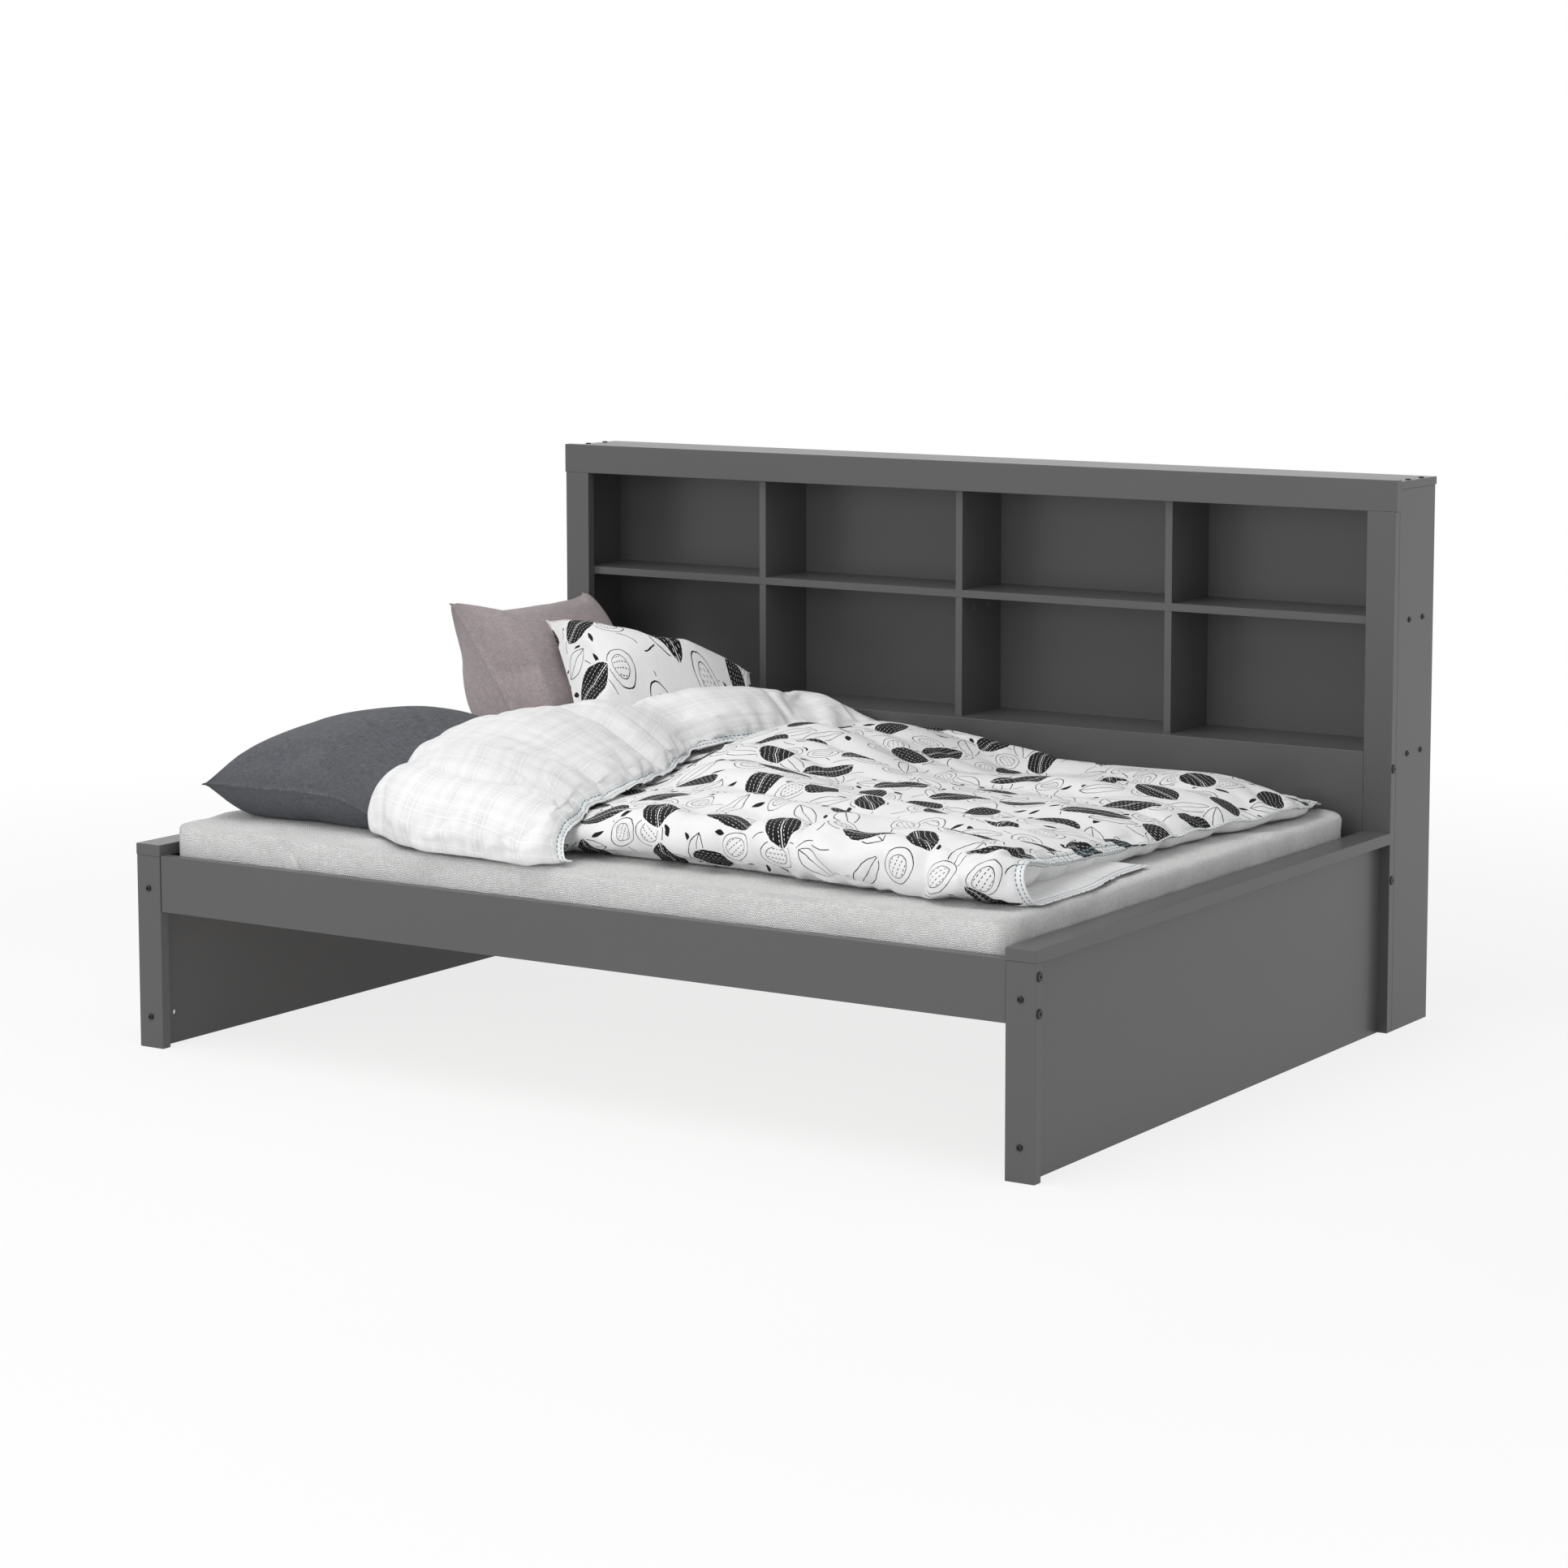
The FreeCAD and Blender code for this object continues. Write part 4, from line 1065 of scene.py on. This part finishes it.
# how far the sheet stands off the mattress at one place: dents and pulled creases
def sheetRipple(spot, look):
    slow = noise.noise(Vector((spot.x * 2.6, spot.y * 2.6, spot.z * 4)))
    pulled = noise.noise(Vector((spot.x * 5 + spot.y * 3, spot.y * 14 - spot.x * 4, spot.z * 12)))
    nearRim = max(smoothStep(abs(spot.x), footEnd - 0.3, footEnd),
                  smoothStep(-spot.y, -railSide - 0.2, -railSide))
    return look["dent"] * (slow - 0.4) - look["wrinkle"] * (0.3 + nearRim) * (1 - 2 * abs(pulled))


def makeMattress():
    look = sheetShape
    mesh = roundedBox(sheetLow, sheetHigh, look, look["pitch"])
    bmesh.ops.delete(mesh, geom=[f for f in mesh.faces if f.normal.z < -0.7], context="FACES")
    moves = {vertex: vertex.normal * sheetRipple(vertex.co, look) for vertex in mesh.verts}
    for vertex, move in moves.items():
        vertex.co += move
    sheet = pieceFrom(mesh, "linenSheet")
    for start, end, depth, width in look["creases"]:
        crease(sheet, start, end, depth, width)
    thicken = sheet.modifiers.new("clothThickness", "SOLIDIFY")
    thicken.thickness = look["thick"]
    thicken.offset = -1
    sheet.data.materials.append(grainLinen(linenLook))
    placePiece(sheet, "bed_mattress", "fitted_sheet")

    coreLow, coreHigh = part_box("mattress")
    inset = Vector((look["coreInset"], look["coreInset"], 0))
    core = pieceFrom(roundedBox(coreLow + inset, coreHigh - inset - Vector((0, 0, look["coreDrop"])),
                                look, look["corePitch"]), "mattressCore")
    core.data.materials.append(wovenCloth("mattressCover", coverLook))
    placePiece(core, "bed_mattress", "mattress")
    length, width, deep = sheetHigh - sheetLow           # the sheet's size, which nothing reads
    print("mattress made")


# the duvet, in two pieces that meet under the folded back end

# what each vertex of a duvet sheet needs to know: its place on the flat cloth, distance
# from the nearest hem and place along it, share of the filling, extra filling, and whether
# it is held still while the cloth swells
def clothNotes():
    return {"flat": {}, "hem": {}, "full": {}, "plump": {}, "held": {}}


# the nearest hem of a list of (distance, place along it)
def nearestHem(hems):
    return min(hems, key=lambda pair: pair[0])


# give a folded sheet its two faces and filling, and let it swell and wrinkle
def quilted(name, mesh, finishes, notes):
    look = duvetLook
    hems = notes["hem"]
    keepFlat(mesh, "cloth", lambda vertex: notes["flat"][vertex.index])
    keepFlat(mesh, "hem", lambda vertex: hems[vertex.index])
    piece = pieceFrom(mesh, name)
    loft = piece.vertex_groups.new(name="loft")
    most = look["loft"] + look["plump"]
    for i, (away, along) in hems.items():
        inside = min(max(away - look["band"], 0.0) / look["edgeRound"], 1.0)
        rounded = math.sqrt(1 - (1 - inside) ** 2)
        thick = look["hemLoft"] + (look["loft"] - look["hemLoft"]) * rounded * notes["full"][i]
        loft.add([i], (thick + notes["plump"][i]) / most, "REPLACE")
    for finish in finishes:
        piece.data.materials.append(finish)
    filled = piece.modifiers.new("filling", "SOLIDIFY")
    filled.thickness = most
    filled.offset = 0
    filled.vertex_group = "loft"
    filled.material_offset = 1
    filled.material_offset_rim = 0
    count = len(piece.data.vertices)
    body = bpy.data.meshes.new_from_object(
        piece.evaluated_get(bpy.context.evaluated_depsgraph_get()))
    piece.modifiers.clear()
    piece.data = body
    pins = piece.vertex_groups.new(name="pins")
    for vertex in body.vertices:
        i = vertex.index % count                         # both faces share the sheet's notes
        if notes["held"][i] or hems[i][0] < look["stiffHem"]:
            pins.add([vertex.index], 1.0, "REPLACE")
    settle(piece, look["swell"], "pins")
    piece.vertex_groups.clear()
    restOnMattress(piece)
    print("swelled:", name)
    return piece


# the head end of the duvet, folded over the pillows with its reverse upwards
def foldedBackEnd(finishes):
    look = duvetLook
    # shares of the sheet: its top and its bend, the roll at the front and the end of that
    topShare, bendShare, dropShare, lastShare = 0.76, 0.08, 0.14, 0.1
    mesh = sheetGrid(84, 150)
    notes = clothNotes()
    drop = look["drop"]
    for vertex in mesh.verts:
        p, q, i = vertex.co.x, vertex.co.y, vertex.index
        rolled = max(1 - q / dropShare, 0.0)               # 1 at the lowest front edge
        spread = max(q - dropShare, 0.0) / (1 - dropShare)
        frontY = railSide - 0.006 + 0.1 * smoothStep(p, 0.45, 0.85) ** 2 \
            + 0.02 * (1 - smoothStep(p, 0, 0.15))
        backY = panelSide - 0.012
        y = frontY + drop + spread * (backY - frontY - drop)
        share = foldShareAt(y)
        radius = look["foldRadius"] + 0.014 * (1 - smoothStep(share, 0.1, 0.3))
        edge, hem = edgeAt(share), hemAt(share)
        length = hem - edge - radius
        if p < topShare:
            x, down, along = hem - length * p / topShare, 0.0, length * p / topShare
        elif p < topShare + bendShare:
            turn = (p - topShare) / bendShare * math.pi
            x = edge + radius - radius * math.sin(turn)
            down, along = radius * (1 - math.cos(turn)), length + radius * turn
        else:
            under = (p - topShare - bendShare) / (1 - topShare - bendShare) \
                * min(look["tuck"], 0.5 * length)
            x, down = edge + radius + under, 2 * radius
            along = length + radius * math.pi + under
        plump = 0.0
        if p < topShare:
            plump = plumpBehind(min(along, backY - y)) * (1 - 0.6 * min(rolled, 1.0))
        z = foldTop(max(x, edge + radius), y) - (look["loft"] + plump) / 2 - down
        bottom = mattressTop + 0.01 - 0.012 * smoothStep(-frontY, -railSide, -railSide + 0.012)
        x += 0.05 * min(rolled, 1.0) * (1 - smoothStep(p, 0.0, 0.5))
        cloth = y - railSide
        if rolled > 0:
            angle = min(rolled / (1 - lastShare), 1.0) * math.pi / 2
            y -= drop * math.sin(angle)
            cloth = drop - rolled * math.pi / 2 * math.sqrt((drop ** 2 + (z - bottom) ** 2) / 2)
            z = bottom + (z - bottom) * math.cos(angle)
            last = max(rolled - (1 - lastShare), 0) / lastShare    # this turns under
            y += 0.014 * last
            z -= 0.004 * last
        vertex.co = Vector((x, y, max(z, mattressTop + 0.008) if y > railSide else z))
        fromFront = q / dropShare * 0.2 if rolled > 0 else 0.2 + y - frontY
        notes["flat"][i] = (along, cloth)
        notes["hem"][i] = nearestHem([(along, cloth), (backY - y if not rolled else 1.0, along)])
        notes["full"][i] = (1 - 0.35 * smoothStep(p, 0.6, topShare)) \
            * (0.2 + 0.8 * smoothStep(fromFront, 0.0, 0.07))
        notes["plump"][i] = plump
        notes["held"][i] = p > topShare + bendShare or fromFront < 0.02
    return quilted("foldedBackEnd", mesh, finishes, notes)


# the spread part of the duvet, folded under itself along the rail side
def duvetBody(finishes):
    look = duvetLook
    underShare, bendShare = 0.22, 0.07    # shares of the sheet folded under and in the bend
    mesh = sheetGrid(100, 160)
    notes = clothNotes()
    strip, backY, bend = look["underStrip"], panelSide - 0.014, look["frontBend"]
    for vertex in mesh.verts:
        p, q, i = vertex.co.x, vertex.co.y, vertex.index
        guess = headEnd + 0.8 + 1.05 * p                 # x, near enough for the front edge
        frontY = railSide + 0.062 + 0.035 * smoothStep(abs(guess - 0.65), 0.12, 0.35)
        start = frontY + bend
        if q < underShare:
            y = start + strip * (1 - q / underShare)
            turn = 0.0
            cloth = strip * q / underShare
        elif q < underShare + bendShare:
            turn = (q - underShare) / bendShare * math.pi
            pucker = 0.011 * (puffs(guess * 13, 0.4 * turn, 6.6) - 0.5)
            y = start - (bend + pucker) * math.sin(turn)
            cloth = strip + turn * look["frontTurn"]
        else:
            turn = math.pi
            y = start + (q - underShare - bendShare) / (1 - underShare - bendShare) * (backY - start)
            cloth = strip + math.pi * look["frontTurn"] + y - start
        share = min(max(shareAt(y), 0.0), 1.0)
        hem = hemAt(share)
        topFoot = footEnd - alongRows(duvetRows, 3, share)
        lowFoot = footEnd - 0.008 - 0.03 * smoothStep(share, 0.2, 0.36)
        climbed = (1 - math.cos(turn)) / 2
        foot = lowFoot + (topFoot - lowFoot) * climbed
        first = hem - look["overlap"]
        x = first + (foot - first) * p
        plump = plumpBehind(min(foot - x, backY - y)) * climbed if hem < x else 0.0
        top = mattressTop + spreadRise(x, y) - (look["loft"] + plump) / 2
        if hem > x:
            top = min(top, foldTop(x, y) - look["loft"] * 1.6)
        hemHere = nearestHem([(foot - x, cloth), (cloth, x), (backY - y if turn else 1.0, x)])
        filling = smoothStep(hemHere[0], 0, look["band"] + look["edgeRound"])
        low = mattressTop + 0.0035 + 0.006 * filling
        top = low + (top - low) * (0.25 + 0.75 * smoothStep(backY - y, 0.0, 0.07))
        vertex.co = Vector((x, y, low + (top - low) * climbed))
        notes["flat"][i] = (x, cloth)
        notes["hem"][i] = hemHere
        notes["full"][i] = look["underLoft"] + (1 - look["underLoft"]) * climbed
        notes["plump"][i] = plump
        notes["held"][i] = turn == 0.0 or p < 0.04
    return quilted("duvetBody", mesh, finishes, notes)


def makeDuvet():
    finishes = [printedCotton("patternedCotton", True), checkedCotton()]
    for piece in (foldedBackEnd(finishes), duvetBody(finishes)):
        placePiece(piece, "bed_duvet", "duvet")
        subdivided(piece, 1)


makeCamera(cameraLook)
makeStage(studio)
dressFrame()
print("frame dressed")
makeMattress()
makePillows()
makeDuvet()
